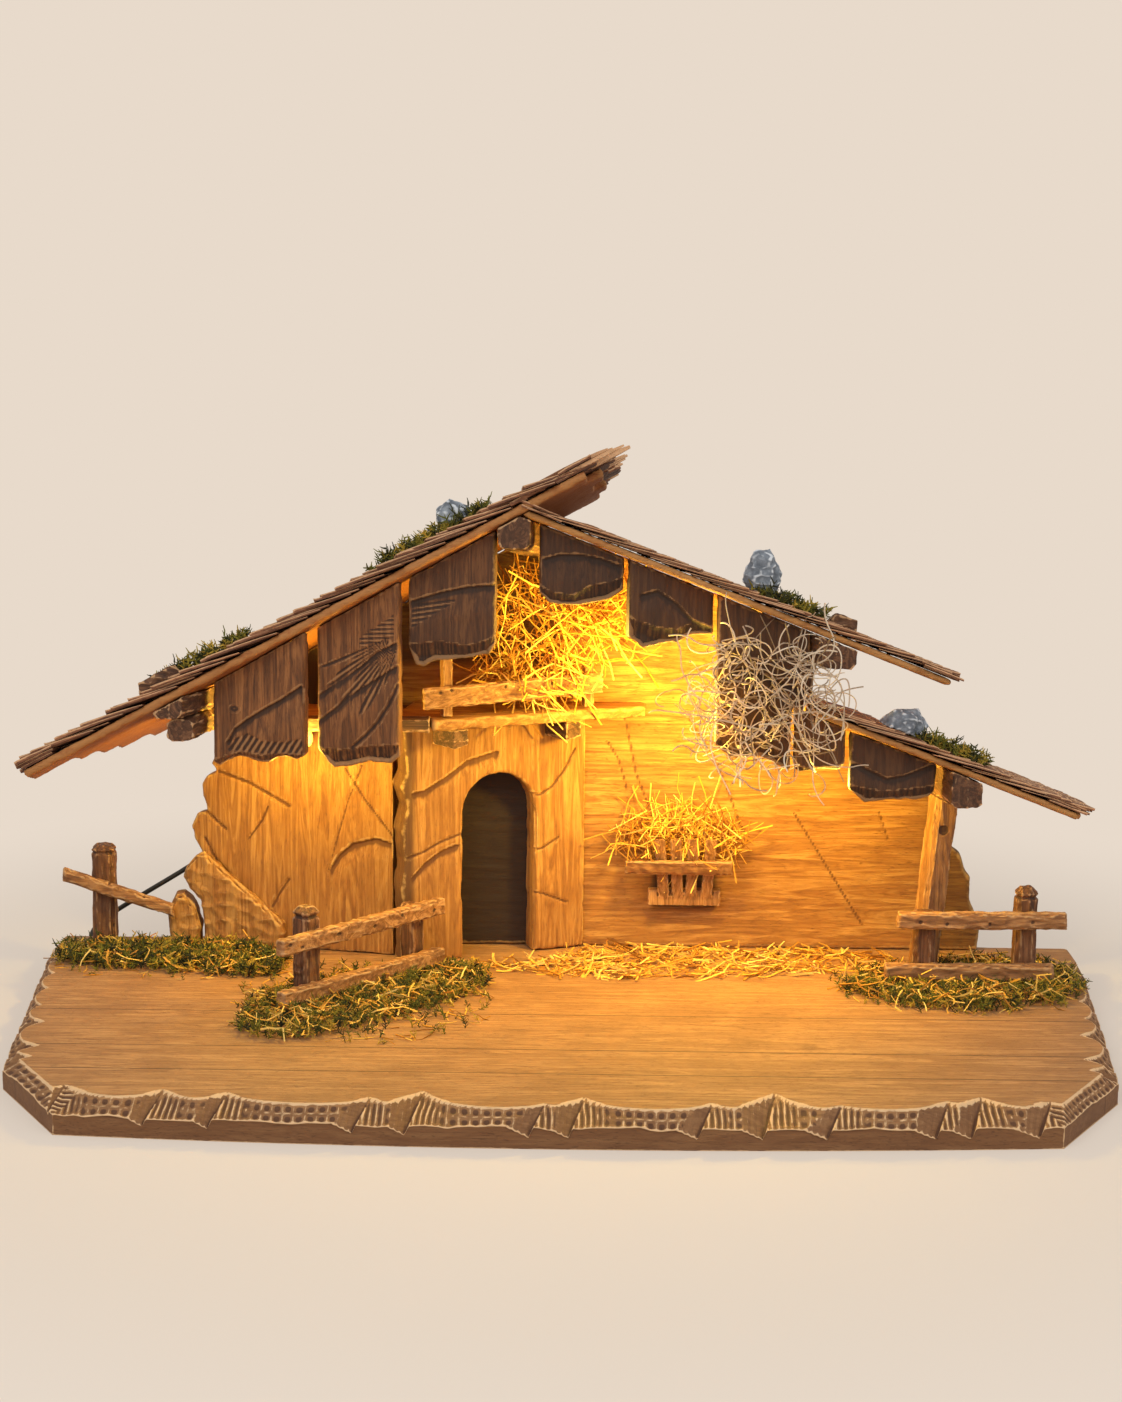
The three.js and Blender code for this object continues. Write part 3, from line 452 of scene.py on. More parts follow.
def wood(name, tone, grain, **changes):
    # grain is the axis along which the fibres run
    look = {**grainLook, **woods[tone], **changes}
    dark, mid, light, pale, hollow = (
        linear(*look[key]) for key in ("dark", "mid", "light", "worn", "hollow"))
    material, start = newMaterial(name)
    place = objectPlace(start)
    along = place.scaled(drawnOut(grain, look["fibre"]))
    swirl = place.noise(0.018, 2, 0.5)
    bands = along.noise(0.11, 4, 0.6, 1.4)
    rings = start.maths("PINGPONG", bands * 9 + swirl * 3, 1.0)
    fibres = along.noise(1.5, 5, 0.7)
    pores = along.noise(3.2, 2, 0.6).ramped(0.6, 0.72)
    streaks = place.scaled(drawnOut(grain, look["streak"])).noise(0.5, 6, 0.7)
    tonal = (look["rings"] * rings + look["bands"] * bands + look["streaks"] * streaks
             + look["fibres"] * fibres)
    reach = look["reach"]
    body = tonal.coloured([(0.5 - reach, dark), (0.5, mid), (0.5 + reach, light)])
    patches = place.noise(0.03, 3, 0.6).ramped(0.4, 0.66)
    body = (patches * 0.35).mixed(body, dark)
    body = (pores * 0.5).mixed(body, hollow)
    for line in look["seams"]:
        across = start.node("ShaderNodeSeparateXYZ", {}, {0: place}, out=1)
        aside = start.maths("ABSOLUTE", across + swirl * 0.8 - (line + 0.4))
        seam = 1 - aside.ramped(0.15, 0.8)
        body = (seam * 0.85).mixed(body, hollow)
    if look["ownTone"]:
        # the piece's own tone: a stain, and on the walls painted shade
        own = attribute(start, "tone") * look["ownTone"]
        body = own.mixed(body, linear(*look["toned"]))
    relief = attribute(start, "relief")
    broken = place.noise(0.35, 4, 0.65) - 0.5
    worn = (relief + broken * 0.5).ramped(0.2, 0.48) * look["wear"]
    # painted shade: hollows, where the relief is below 0, are darkened towards the hollow colour
    hollowShade = (0 - relief + broken * 0.3).ramped(0.08, 0.55) * 0.85
    colour = hollowShade.mixed(worn.mixed(body, pale), hollow)
    height = fibres * 0.6 + streaks * 0.6 + rings * 0.1 - pores * 0.5
    finishMaterial(start, colour, 0.62 + 0.2 * fibres, height, look["bump"])
    return material


# carving: a CAD solid is remeshed finely and cut with mathematical chisels

def hashed(*cells):
    # a fixed random number from 0 to 1 for each whole-numbered cell
    mixedBits = np.zeros(cells[0].shape, np.uint64)
    for cell, prime in zip(cells, (73856093, 19349663, 83492791, 49979687)):
        mixedBits ^= (cell.astype(np.int64) & 0xFFFFFFFF).astype(np.uint64) * np.uint64(prime)
    mixedBits ^= mixedBits >> np.uint64(13)
    mixedBits = (mixedBits * np.uint64(1274126177)) & np.uint64(0xFFFFFFFF)
    mixedBits ^= mixedBits >> np.uint64(16)
    return (mixedBits & np.uint64(0xFFFFFF)).astype(float) / 0xFFFFFF


def lumps(points, size, seed=0):
    # smooth noise from -1 to 1 with features about `size` long, one number or one for each axis
    place = points / np.array(size) + seed * 13.7
    cell = np.floor(place)
    share = place - cell
    share = share * share * (3 - 2 * share)
    total = np.zeros(len(points))
    for corner in np.ndindex(2, 2, 2):
        weight = np.ones(len(points))
        for axis in range(3):
            weight *= share[:, axis] if corner[axis] else 1 - share[:, axis]
        tagged = [cell[:, axis] + corner[axis] for axis in range(3)]
        total += weight * hashed(*tagged, np.full(len(points), seed))
    return total * 2 - 1


def scoops(u, v, size, seed=0):
    # chisel cuts side by side: 0 on the ridges between them, 1 inside
    place = (u / size[0], v / size[1])
    cells = [np.floor(part) for part in place]
    nearest = np.full(u.shape, 9.0)
    second = np.full(u.shape, 9.0)
    for du in (-1, 0, 1):
        for dv in (-1, 0, 1):
            cu, cv = cells[0] + du, cells[1] + dv
            tag = np.full(u.shape, seed)
            offU = cu + 0.15 + 0.7 * hashed(cu, cv, tag)
            offV = cv + 0.15 + 0.7 * hashed(cv, cu, tag + 7)
            distance = np.hypot(place[0] - offU, place[1] - offV)
            second = np.minimum(second, np.maximum(nearest, distance))
            nearest = np.minimum(nearest, distance)
    return np.clip((second - nearest) * 1.8, 0, 1)


def nearLine(u, v, line, width):
    # 1 on the middle of a line through points, 0 from half its width away
    best = np.full(u.shape, 1e9)
    for (u0, v0), (u1, v1) in zip(line, line[1:]):
        run = (u1 - u0) ** 2 + (v1 - v0) ** 2
        share = np.clip(((u - u0) * (u1 - u0) + (v - v0) * (v1 - v0)) / run, 0, 1)
        best = np.minimum(best, np.hypot(u - u0 - share * (u1 - u0), v - v0 - share * (v1 - v0)))
    return np.clip(1 - 2 * best / width, 0, 1)


def neighbourMean(values, edges, count):
    total = np.zeros_like(values)
    for a, b in ((0, 1), (1, 0)):
        if values.ndim == 1:
            total += np.bincount(edges[:, a], values[edges[:, b]], count)
        else:
            for axis in range(3):
                total[:, axis] += np.bincount(edges[:, a], values[edges[:, b], axis], count)
    amount = np.bincount(edges.ravel(), minlength=count).clip(1)
    return total / (amount if values.ndim == 1 else amount[:, None])


def readMesh(mesh):
    count = len(mesh.vertices)
    points = np.zeros(count * 3)
    normals = np.zeros(count * 3, np.float32)
    edges = np.zeros(len(mesh.edges) * 2, np.int32)
    mesh.vertices.foreach_get("co", points)
    mesh.vertex_normals.foreach_get("vector", normals)
    mesh.edges.foreach_get("vertices", edges)
    return points.reshape(-1, 3) / mm, normals.reshape(-1, 3).astype(float), edges.reshape(-1, 2)


def setAttribute(mesh, name, values):
    data = mesh.attributes.new(name, "FLOAT", "POINT").data
    data.foreach_set("value", np.asarray(values, np.float32))


def setRelief(mesh, spread=2, ink=0):
    # above 0 on edges and below 0 in hollows, with ink added: painted shade and highlights of marks and
    # holes, some wear and grain
    points, normals, edges = readMesh(mesh)
    away = points - neighbourMean(points, edges, len(points))
    size = np.linalg.norm(points[edges[:, 0]] - points[edges[:, 1]], axis=1).mean()
    relief = (away * normals).sum(1) / size * 4
    for _ in range(spread):
        relief = 0.4 * relief + 0.6 * neighbourMean(relief, edges, len(points))
    setAttribute(mesh, "relief", np.clip(relief + ink, -1, 1))


def baked(source):
    # the evaluated object as a plain mesh
    graph = bpy.context.evaluated_depsgraph_get()
    graph.update()
    return bpy.data.meshes.new_from_object(source.evaluated_get(graph))


def merged(node):
    # a copy of a node's mesh, with its loose triangles joined
    bm = bmesh.new()
    bm.from_mesh(frame["nodes"][node].data)
    bmesh.ops.remove_doubles(bm, verts=bm.verts, dist=1e-6)
    mesh = bpy.data.meshes.new("blank")
    bm.to_mesh(mesh)
    return mesh


def blockOf(corners):
    # a closed hull round some corners in mm
    bm = bmesh.new()
    for corner in corners:
        bm.verts.new(Vector(corner) * mm)
    bmesh.ops.convex_hull(bm, input=bm.verts)
    mesh = bpy.data.meshes.new("blank")
    bm.to_mesh(mesh)
    return mesh


def remeshed(mesh, voxel):
    blank = bpy.data.objects.new("blank", mesh)
    scene.collection.objects.link(blank)
    modifier = blank.modifiers.new("remesh", "REMESH")
    modifier.mode = "VOXEL"
    modifier.voxel_size = voxel * mm
    modifier.adaptivity = 0
    result = baked(blank)
    bpy.data.objects.remove(blank)
    return result


def asPiece(name, mesh, nodes=()):
    piece = bpy.data.objects.new(name, mesh)
    scene.collection.objects.link(piece)
    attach(piece, "root")
    if nodes:
        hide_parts(*nodes)
    return piece


def cutMesh(name, blank, voxel, shape, material, nodes=(), tones=None):
    # shape gives how far each point goes in, below 0, or out, above 0, and ink: painted shade and
    # highlights of its marks
    mesh = remeshed(blank, voxel)
    points, normals, edges = readMesh(mesh)
    points = 0.5 * points + 0.5 * neighbourMean(points, edges, len(points))
    depth, ink = shape(points, normals)
    points = points + normals * depth[:, None]
    mesh.vertices.foreach_set("co", (points * mm).ravel())
    mesh.update()
    setRelief(mesh, ink=ink)
    if tones:
        setAttribute(mesh, "tone", tones(points))
    mesh.shade_smooth()
    mesh.materials.clear()
    mesh.materials.append(material)
    return asPiece(name, mesh, nodes)


def carve(name, node, voxel, shape, material, tones=None):
    return cutMesh(name, merged(node), voxel, shape, material, [node], tones)


def evenly(stainAndShade):
    return lambda points: np.full(len(points), stainAndShade)


hewing = {
    # width, length and height of a fibre, slant of the chisel cuts
    # and how far apart the notches on an arris are, as a share of a cut's length
    "fibre": (1.3, 18, 0.12), "slant": 0.12, "notch": 0.62,
}


def fibreSize(axis, wide, long):
    return [long if other == axis else wide for other in "xyz"]


def hewn(axis, cut, depth, seed, chips=0.4):
    # a hewn stick: flat chisel cuts on each side, notched arrises, fibres and dents, along one axis
    main = "xyz".index(axis)
    first, second = (other for other in range(3) if other != main)
    wide, long, high = hewing["fibre"]

    def shape(points, normals):
        run = points[:, main]
        facing = np.abs(normals)
        onFirst = facing[:, first] > facing[:, second]
        over = np.where(onFirst, points[:, second], points[:, first] + 50)
        facets = scoops(run, over + hewing["slant"] * run, cut, seed)
        fibres = lumps(points, fibreSize(axis, wide, long), seed + 1)
        arris = np.clip(2.6 * np.minimum(facing[:, first], facing[:, second]) - 0.35, 0, 1)
        wobble = 2.2 * lumps(points, 11, seed + 4)
        notches = np.sin(math.pi * run / (hewing["notch"] * cut[0]) + wobble) ** 2
        dents = np.minimum(lumps(points, 5, seed + 2) + 0.5, 0)
        away = -depth * facets + high * fibres + chips * 0.6 * dents - chips * 1.6 * arris * notches
        return away, 0.0
    return shape


def nailed(shape, places):
    # small nail holes pressed into the front and back of a finished shape
    def withHoles(points, normals):
        depth, ink = shape(points, normals)
        for x, z, radius in places:
            within = radius - np.hypot(points[:, 0] - x, points[:, 2] - z)
            near = np.clip(within * 1.3, 0, 1)
            depth = depth - 0.9 * near
            # painted shade inside the hole
            ink = ink - 1.6 * near
        return depth, ink
    return withHoles


woodMaterials = {}


def woodFor(tone, grain):
    key = f"{tone}_wood_{grain}"
    if key not in woodMaterials:
        woodMaterials[key] = wood(key, tone, grain)
    return woodMaterials[key]


# sticks: beams, posts and rails

sticks = [
    # tone, grain, record slot, length and width of a chisel cut, its depth, and the nodes
    ("beam", "y", "beam_wood", (22, 9), 0.6, ["ridge_beam"]),
    ("beam", "y", "beam_wood", (20, 7), 0.6, ["purlin_left", "eave_beam_left"]),
    ("beam", "y", "beam_wood", (18, 8), 0.7, ["purlin_right", "purlin_right_low"]),
    ("rail", "z", "beam_wood", (26, 6), 0.5, ["right_post"]),
    ("beam", "y", "beam_wood", (14, 6), 0.5, ["loft_bracket_left", "loft_bracket_right"]),
    ("rail", "z", "rail_wood", (14, 4), 0.35, ["loft_post_left", "loft_post_right"]),
    ("rail", "x", "rail_wood", (13, 5), 0.5, ["loft_rail"]),
    ("beam", "x", "beam_wood", (18, 6), 0.4, ["tie_beam"]),
    ("post", "z", "rail_wood", (18, 6), 0.55, ["fence_post_front_left", "fence_post_front_right"]),
    ("rail", "x", "rail_wood", (13, 6), 0.6, ["fence_rail_front_low", "fence_rail_front_top"]),
    ("post", "z", "rail_wood", (18, 6), 0.55, ["fence_post_right_inner", "fence_post_right_outer"]),
    ("rail", "x", "rail_wood", (13, 6), 0.6, ["fence_rail_right_low", "fence_rail_right_top"]),
    ("post", "z", "rail_wood", (18, 7), 0.6, ["fence_post_back_left"]),
    ("rail", "x", "rail_wood", (12, 6), 0.5, ["fence_rail_back_left"]),
    ("rail", "x", "rail_wood", (11, 5), 0.25, ["manger_top_rail"]),
    ("rail", "z", "rail_wood", (10, 4), 0.12, ["manger_rack"]),
]
nails = {
    # x, height and radius of holes in the rails' fronts, and of the peg in the right post
    "fence_rail_front_top": [
        (-146, 57, 1), (-140, 54, 1), (-122, 56, 1.2), (-104, 55, 1), (-90, 57, 1), (-73, 55, 1)],
    "fence_rail_right_top": [(182, 56, 1), (199, 56, 1.2), (214, 55, 1), (238, 55, 1), (262, 56, 1)],
    "loft_rail": [(-70, 180, 1), (-64, 181, 1), (-34, 181, 1), (-8, 181, 1.2), (22, 181, 1)],
    "fence_rail_back_left": [(-284, 66, 1), (-264, 57, 1), (-244, 49, 1)],
    "right_post": [(213.2, 103, 3)],
}
stickVoxels = {"manger_rack": 0.55, "manger_top_rail": 0.55, "others": 0.7}


def makeSticks():
    seed = 0
    for tone, grain, slotName, cut, depth, nodes in sticks:
        for node in nodes:
            shape = nailed(hewn(grain, cut, depth, seed), nails.get(node, []))
            voxel = stickVoxels.get(node, stickVoxels["others"])
            carve(f"{node}_hewn", node, voxel, shape, woodFor(tone, grain))
            seed += 1
    return seed


print("sticks hewn:", makeSticks())


# walls and boards

planing = {
    # width, length and depth of a plane's cut, width, length and height of a fibre
    "cut": (9, 30, 0.22), "fibre": (1.5, 26, 0.2),
}


def plankShape(seed, grain, marks):
    # a broad face with shallow plane cuts and fibres, and a board's own marks carved into its front
    wide, long, deep = planing["cut"]
    cut = (wide, long) if grain == "z" else (long, wide)
    *size, high = planing["fibre"]

    def shape(points, normals):
        x, z = points[:, 0], points[:, 2]
        front = np.clip(-normals[:, 1] * 1.6 - 0.3, 0, 1)
        edge = 1 - np.clip(np.abs(normals[:, 1]) * 2 - 0.8, 0, 1)
        chipped = np.minimum(lumps(points, 6, seed) + 0.15, 0)
        fibres = lumps(points, fibreSize(grain, *size), seed)
        planed = -deep * scoops(x, z, cut, seed) + high * fibres + (0.25 + 0.9 * edge) * chipped
        carved, ink = np.zeros(len(points)), np.zeros(len(points))
        for mark in marks:
            more, stainAndShade = mark(x, z)
            carved, ink = carved + more, ink + stainAndShade
        return planed + front * carved, front * ink
    return shape


def alongLine(line, x):
    return np.interp(x, *zip(*line))


def groove(line, width, depth, dark=0.5):
    # a narrow cut along a line
    def mark(x, z):
        # painted shade darkens the cut, and a painted highlight runs along its upper lip
        near = nearLine(x, z, line, width * 1.2)
        above = nearLine(x, z - 0.9, line, width)
        return -depth * near, 0.35 * above - dark * near ** 2
    return mark


def ledge(line, fade, depth, lip=0.7):
    # wood cut away below a line that runs from left to right, less and less as it goes down
    def mark(x, z):
        within = np.clip((x - line[0][0]) / 2, 0, 1) * np.clip((line[-1][0] - x) / 2 + 1, 0, 1)
        under = alongLine(line, x) - z
        cut = np.clip(under / 0.7, 0, 1) * np.clip(1 - under / fade, 0, 1)
        ragged = 2 + 2 * np.sin(x * 0.23 + 1) ** 2
        # painted shadow darkens a band just below the line, and a painted highlight lies along the crest
        # above it
        shade = np.clip(under / 0.5, 0, 1) * np.clip(1 - (under - 2.5) / ragged, 0, 1)
        crestHighlight = np.clip(1 - np.abs(under + 0.6) / 0.8, 0, 1) * np.sin(x * 0.31) ** 2
        return -depth * within * cut, within * (0.6 * lip * crestHighlight - 0.6 * shade)
    return mark


def gouges(upper, lower, lean, pitch, depth):
    # parallel gouges between two lines, `lean` degrees from upright
    slant = math.radians(lean)

    def mark(x, z):
        below, above = alongLine(upper, x) - z, z - alongLine(lower, x)
        within = np.clip(below / 1.5, 0, 1) * np.clip(above / 1.5, 0, 1)
        within = within * (x > upper[0][0]) * (x < upper[-1][0])
        across = x * math.cos(slant) - z * math.sin(slant)
        # painted shade in the troughs of the gouges and painted highlights on their ridges
        wave = 0.5 - 0.5 * np.cos(2 * math.pi * across / pitch)
        return -depth * within * wave, within * (0.45 - 1.1 * wave)
    return mark


def feather(centre, headings, reach, count, depth):
    # gouges that spread from a point, between two headings and two distances
    first, last = (math.radians(heading) for heading in headings)

    def mark(x, z):
        angle = np.arctan2(z - centre[1], x - centre[0]) % (2 * math.pi)
        share = (angle - first) / (last - first)
        radius = np.hypot(x - centre[0], z - centre[1])
        ragged = reach[1] * (0.8 + 0.2 * np.cos(share * 23))
        within = (share > 0) * (share < 1) * np.clip((radius - reach[0]) / 3, 0, 1)
        within = within * np.clip((ragged - radius) / 5, 0, 1)
        # painted shade in the troughs of the gouges and painted highlights on their ridges
        wave = 0.5 - 0.5 * np.cos(2 * math.pi * share * count)
        return -depth * within * wave, within * (0.45 - 1.1 * wave)
    return mark


def bevel(line, depth=2.6, fade=7):
    # the broken lower end of a board, thinner and darker below a line
    def mark(x, z):
        under = alongLine(line, x) - z
        broken = under > 0
        stripes = 0.5 + 0.5 * np.sin(x * 2.6 + np.sin(x * 0.9) * 2)
        cut = np.clip(under / fade, 0, 1)
        # a painted highlight along the upper edge, and painted shade on the broken face below it
        crestHighlight = np.clip(1 - np.abs(under + 0.4) / 0.9, 0, 1) * np.sin(x * 0.4) ** 2
        shade = 0.4 * broken * (0.4 + 0.6 * stripes)
        return -depth * cut - 0.5 * stripes * broken, 0.35 * crestHighlight - shade
    return mark


def knot(centre, size=5):
    def mark(x, z):
        radius = np.hypot((x - centre[0]) * 0.8, z - centre[1])
        rings = np.cos(radius * 2.4) * np.clip(1 - radius / size, 0, 1)
        return 0.25 * rings, 0.5 * rings - 0.7 * np.clip(1 - radius / 1.6, 0, 1)
    return mark


boards = {
    # how dark each board's stain is, and the marks carved into it, as places of x and height
    "gable_board_1": (0.0, [
        ledge([(-186, 158), (-184, 160), (-180.7, 166.2), (-173.7, 171.7), (-162.9, 178.9),
               (-155.2, 183.3), (-143.6, 191.7)], 16, 1.7),
        gouges([(-184.7, 159), (-173.8, 164), (-164.6, 160), (-153, 160.5), (-143, 163)],
               [(-184, 153), (-165, 152), (-143, 153)], 32, 3.1, 0.9),
        bevel([(-192, 148), (-177, 153.5), (-165.5, 151.5), (-158.5, 153.5), (-144, 153)]),
        knot((-180.6, 177.1)),
    ]),
    "gable_board_2": (0.05, [
        ledge([(-136, 184.4), (-122.1, 194.3), (-110.5, 203), (-102.9, 210.1), (-92, 216)], 9, 1.1),
        feather((-88, 222), (204, 252), (8, 56), 12, 0.9),
        ledge([(-136, 170.3), (-125.2, 178.6), (-117.5, 185.8), (-110.6, 190.5), (-92, 203)],
              12, 1.2, 0.4),
        gouges([(-112, 219), (-103, 225), (-93, 232)], [(-112, 212), (-103, 214), (-93, 218)],
               86, 2.4, 0.5),
        groove([(-116.1, 156.7), (-108.4, 163.9), (-102.2, 171.1), (-96, 181.3), (-91, 192)], 2.4, 1.4),
        bevel([(-136, 155.3), (-122.3, 155.1), (-108.4, 157.6), (-90, 159.4)], 3),
    ]),
    "gable_board_3": (0.5, [
        ledge([(-86, 237.3), (-69.2, 242.8), (-53.6, 246.6), (-36, 248.4)], 15, 1.6),
        gouges([(-84, 236), (-72, 238), (-60, 240)], [(-84, 222), (-72, 230), (-60, 237)], 80, 2.6, 0.6),
        bevel([(-86, 213.6), (-69.2, 215.9), (-53.5, 214), (-43.1, 217.3), (-35, 221)], 3, 8),
    ]),
    "gable_board_4": (0.75, [
        ledge([(-14, 261.8), (-4, 264.5), (7.4, 264.6), (17.7, 262.7), (28, 259)], 14, 1.5, 0.3),
        bevel([(-15, 247.1), (-6.9, 243.5), (3.5, 242.1), (12.7, 247.4), (24.1, 249.7), (32, 253)], 2.8),
    ]),
    "gable_board_5": (0.75, [
        ledge([(38.7, 243.5), (49, 245.8), (59.5, 238.5), (68, 229.1), (80, 224)], 10, 1.3, 0.3),
        bevel([(34, 231), (48.3, 225.7), (59.8, 223.8), (68, 227), (82, 222)], 2.8),
    ]),
    "gable_board_6": (0.7, [
        ledge([(81, 196), (95, 204), (110, 199), (134, 190)], 12, 1.3, 0.3),
        bevel([(80, 166), (92, 158), (108, 162), (122, 154)], 2.6),
    ]),
    "gable_board_7": (0.6, [bevel([(124, 149), (136, 148), (153, 150)], 2.4, 5)]),
    "gable_board_8": (0.75, [
        ledge([(154, 151.5), (158.9, 151.4), (175.5, 143.2), (186.3, 145.2), (203, 152)], 9, 1.2, 0.3),
        bevel([(154, 139.5), (173, 135.7), (186.6, 136.8), (204, 139)], 2.4),
    ]),
}


boardLook = {"voxel": 0.85, "seed": 40, "ownTone": 1.0, "toned": (40, 22, 11)}


def makeBoards():
    own = {key: boardLook[key] for key in ("ownTone", "toned")}
    stained = wood("board_wood_z", "board", "z", **own)
    for i, (node, (stainAndShade, marks)) in enumerate(boards.items()):
        shape = plankShape(boardLook["seed"] + i, "z", marks)
        carve(f"{node}_carved", node, boardLook["voxel"], shape, stained, evenly(stainAndShade))


def rising(values, start, run):
    # 0 below start, 1 from a run above it
    return np.clip((values - start) / run, 0, 1)


def shadeUnderRoof(points):
    # painted shade: the left wall is darkened where only the gaps between the gable boards show it
    return rising(points[:, 2], 158, 5)


def shadeOnDoorWallEnd(points):
    # painted shade: the door wall's end towards the left room, beside the left wall, is darkened
    return 0.85 * np.clip((-85.5 - points[:, 0] + 0.4 * (points[:, 1] - 94)) / 3, 0, 1)


backWallMiddle = 141  # in y, halfway through its thickness


def shadeBehindOpenings(points):
    # painted shade: the back wall's front is darkened behind the doorway, the hay rack and the loft,
    # where they shade it; its rocky right edge is darker too
    x, z = points[:, 0], points[:, 2]
    inDoorway = rising(x, -98, 8) * rising(-x, -6, 6) * rising(-z, -158, 6)
    inRack = rising(x, 49, 3) * rising(-x, -89, 3) * rising(z, 40, 3) * rising(-z, -76, 8)
    inLoft = rising(-x, -2, 16) * rising(z, 182, 6)
    shaded = np.maximum(inDoorway, np.maximum(0.85 * inRack, 0.8 * inLoft))
    onFront = points[:, 1] < backWallMiddle
    return np.maximum(shaded * onFront, 0.6 * rising(x, 208, 6))


walls = {
    # each wall's painted shade, given by its function, darkens it towards the colour toned
    "left_wall": {
        "seed": 60, "voxel": 1.1, "grain": "z", "ownTone": 0.95, "toned": (34, 19, 11),
        "stainAndShade": shadeUnderRoof,
        "marks": [
            groove([(-201.8, 121.2), (-182.9, 115.2), (-159.9, 103)], 2.4, 1.6),
            groove([(-208.2, 96.4), (-202.3, 90.8), (-197.5, 86.9)], 2.2, 1.5),
            groove([(-172.4, 102.2), (-176, 93.7), (-183.9, 82.4)], 2.0, 1.2),
            groove([(-116.9, 129.9), (-125.2, 108.8), (-137.2, 66.5)], 1.8, 1.0),
            groove([(-126.9, 127.5), (-115.3, 109.4), (-98.4, 88.1)], 2.0, 1.2),
            ledge([(-137, 66), (-130, 77), (-122.4, 83.5), (-108.9, 87.4), (-98.4, 84.5), (-91, 76)],
                  12, 1.8, 0.8),
            groove([(-160.3, 59.5), (-165.7, 51.3), (-170.6, 41.9)], 2.2, 1.3),
            groove([(-210.2, 80.7), (-203.8, 67.9), (-195.5, 59.4)], 2.2, 1.3),
        ],
    },
    "door_wall": {
        "seed": 61, "voxel": 1.0, "grain": "z", "ownTone": 0.9, "toned": (72, 44, 26),
        "stainAndShade": shadeOnDoorWallEnd,
        "marks": [
            ledge([(-88, 118.3), (-80.4, 119.3), (-68.6, 126.1), (-56, 135.2), (-39.5, 139.4)],
                  9, 1.5, 0.5),
            groove([(-89.3, 80.3), (-80.4, 83.4), (-70.8, 88.5), (-60.3, 91.9)], 1.8, 1.2),
            ledge([(-88, 68), (-79.7, 77.1), (-70.8, 83.4), (-61.8, 86.5)], 8, 1.2, 0.9),
            groove([(-22, 112.6), (-15.1, 111.6), (-8.3, 115.8), (-1.5, 124.7), (5.2, 137.6)], 1.8, 1.2),
            groove([(-21.7, 78.6), (-13.4, 79.8), (-4.2, 85.4)], 1.8, 1.1),
            groove([(-21.6, 54.3), (-13.1, 52.7), (0.8, 46.2)], 1.8, 1.1),
            groove([(-21.2, 106.6), (-17.3, 101.6), (-17.2, 81)], 1.4, 0.9),
        ],
    },
    "back_wall": {
        "seed": 62, "voxel": 1.3, "grain": "x", "ownTone": 0.97, "toned": (34, 19, 11),
        "stainAndShade": shadeBehindOpenings, "marks": [
            groove([(33.3, 155.2), (40.1, 122.6), (50.3, 95.8)], 2.3, 0.8, 0.8),
            groove([(23.2, 141.2), (30, 130.5), (35.4, 111.8)], 2.3, 0.8, 0.8),
            groove([(70.6, 154.7), (86.7, 130.5), (103, 87.8)], 2.3, 0.8, 0.8),
            groove([(132.1, 99.8), (146.3, 77.1), (173.3, 33.7)], 2.3, 0.8, 0.8),
            groove([(181.4, 101.1), (186.8, 85.1)], 2.3, 0.7, 0.7),
        ],
    },
}
loftFloor = {"voxel": 1.4, "cut": (20, 7), "depth": 0.3, "seed": 63}
rocks = {"voxel": 0.8, "cut": (12, 9), "depth": 0.9, "chips": 0.8, "seed": 64}


def makeWalls():
    for node, wall in walls.items():
        grain = wall["grain"]
        own = {key: wall[key] for key in ("ownTone", "toned")}
        finish = wood(f"{node}_wood", "wall", grain, **own)
        shape = plankShape(wall["seed"], grain, wall["marks"])
        carve(f"{node}_carved", node, wall["voxel"], shape, finish, wall["stainAndShade"])


def makeFloorAndRocks():
    planed = hewn("x", loftFloor["cut"], loftFloor["depth"], loftFloor["seed"])
    carve("loft_floor_planed", "loft_floor", loftFloor["voxel"], planed,
          woodFor("wall", "x"))
    for i, node in enumerate(("rock_slab", "rock_block")):
        rough = hewn("x", rocks["cut"], rocks["depth"], rocks["seed"] + i, rocks["chips"])
        carve(f"{node}_carved", node, rocks["voxel"], rough, woodFor("wall", "z"))


makeBoards()
makeWalls()
makeFloorAndRocks()
print("boards and walls carved")


# roof boards, stones

roofBoards = {
    "voxel": 1.7, "cut": (24, 8), "depth": 0.3, "chips": 0.25, "seed": 70,
    # how dark each roof's boards are
    "stains": {"left_roof_boards": 0.8, "right_roof_boards": 0.5, "lower_roof_boards": 0.5},
}


def makeRoofBoards():
    honey = wood("roof_board_wood", "wall", "x", ownTone=1.0, toned=(150, 82, 34), wear=0.2)
    cut, depth, chips = (roofBoards[key] for key in ("cut", "depth", "chips"))
    for i, (node, stainAndShade) in enumerate(roofBoards["stains"].items()):
        sawn = hewn("x", cut, depth, roofBoards["seed"] + i, chips)
        carve(f"{node}_sawn", node, roofBoards["voxel"], sawn, honey, evenly(stainAndShade))


stones = {
    "voxel": 0.6, "seed": 80,
    "greys": [(0.3, (84, 90, 98)), (0.5, (122, 129, 138)), (0.7, (168, 175, 182))],
    "grit": (78, 82, 90), "worn": (214, 218, 222),
    # how much each is drawn out along x, y and upwards from its foot
    "stretch": {"roof_stone_left": (1.15, 1, 1.25), "roof_stone_right": (1.45, 1.1, 0.92),
                "roof_stone_lower": (1.1, 1, 1.0)},
}


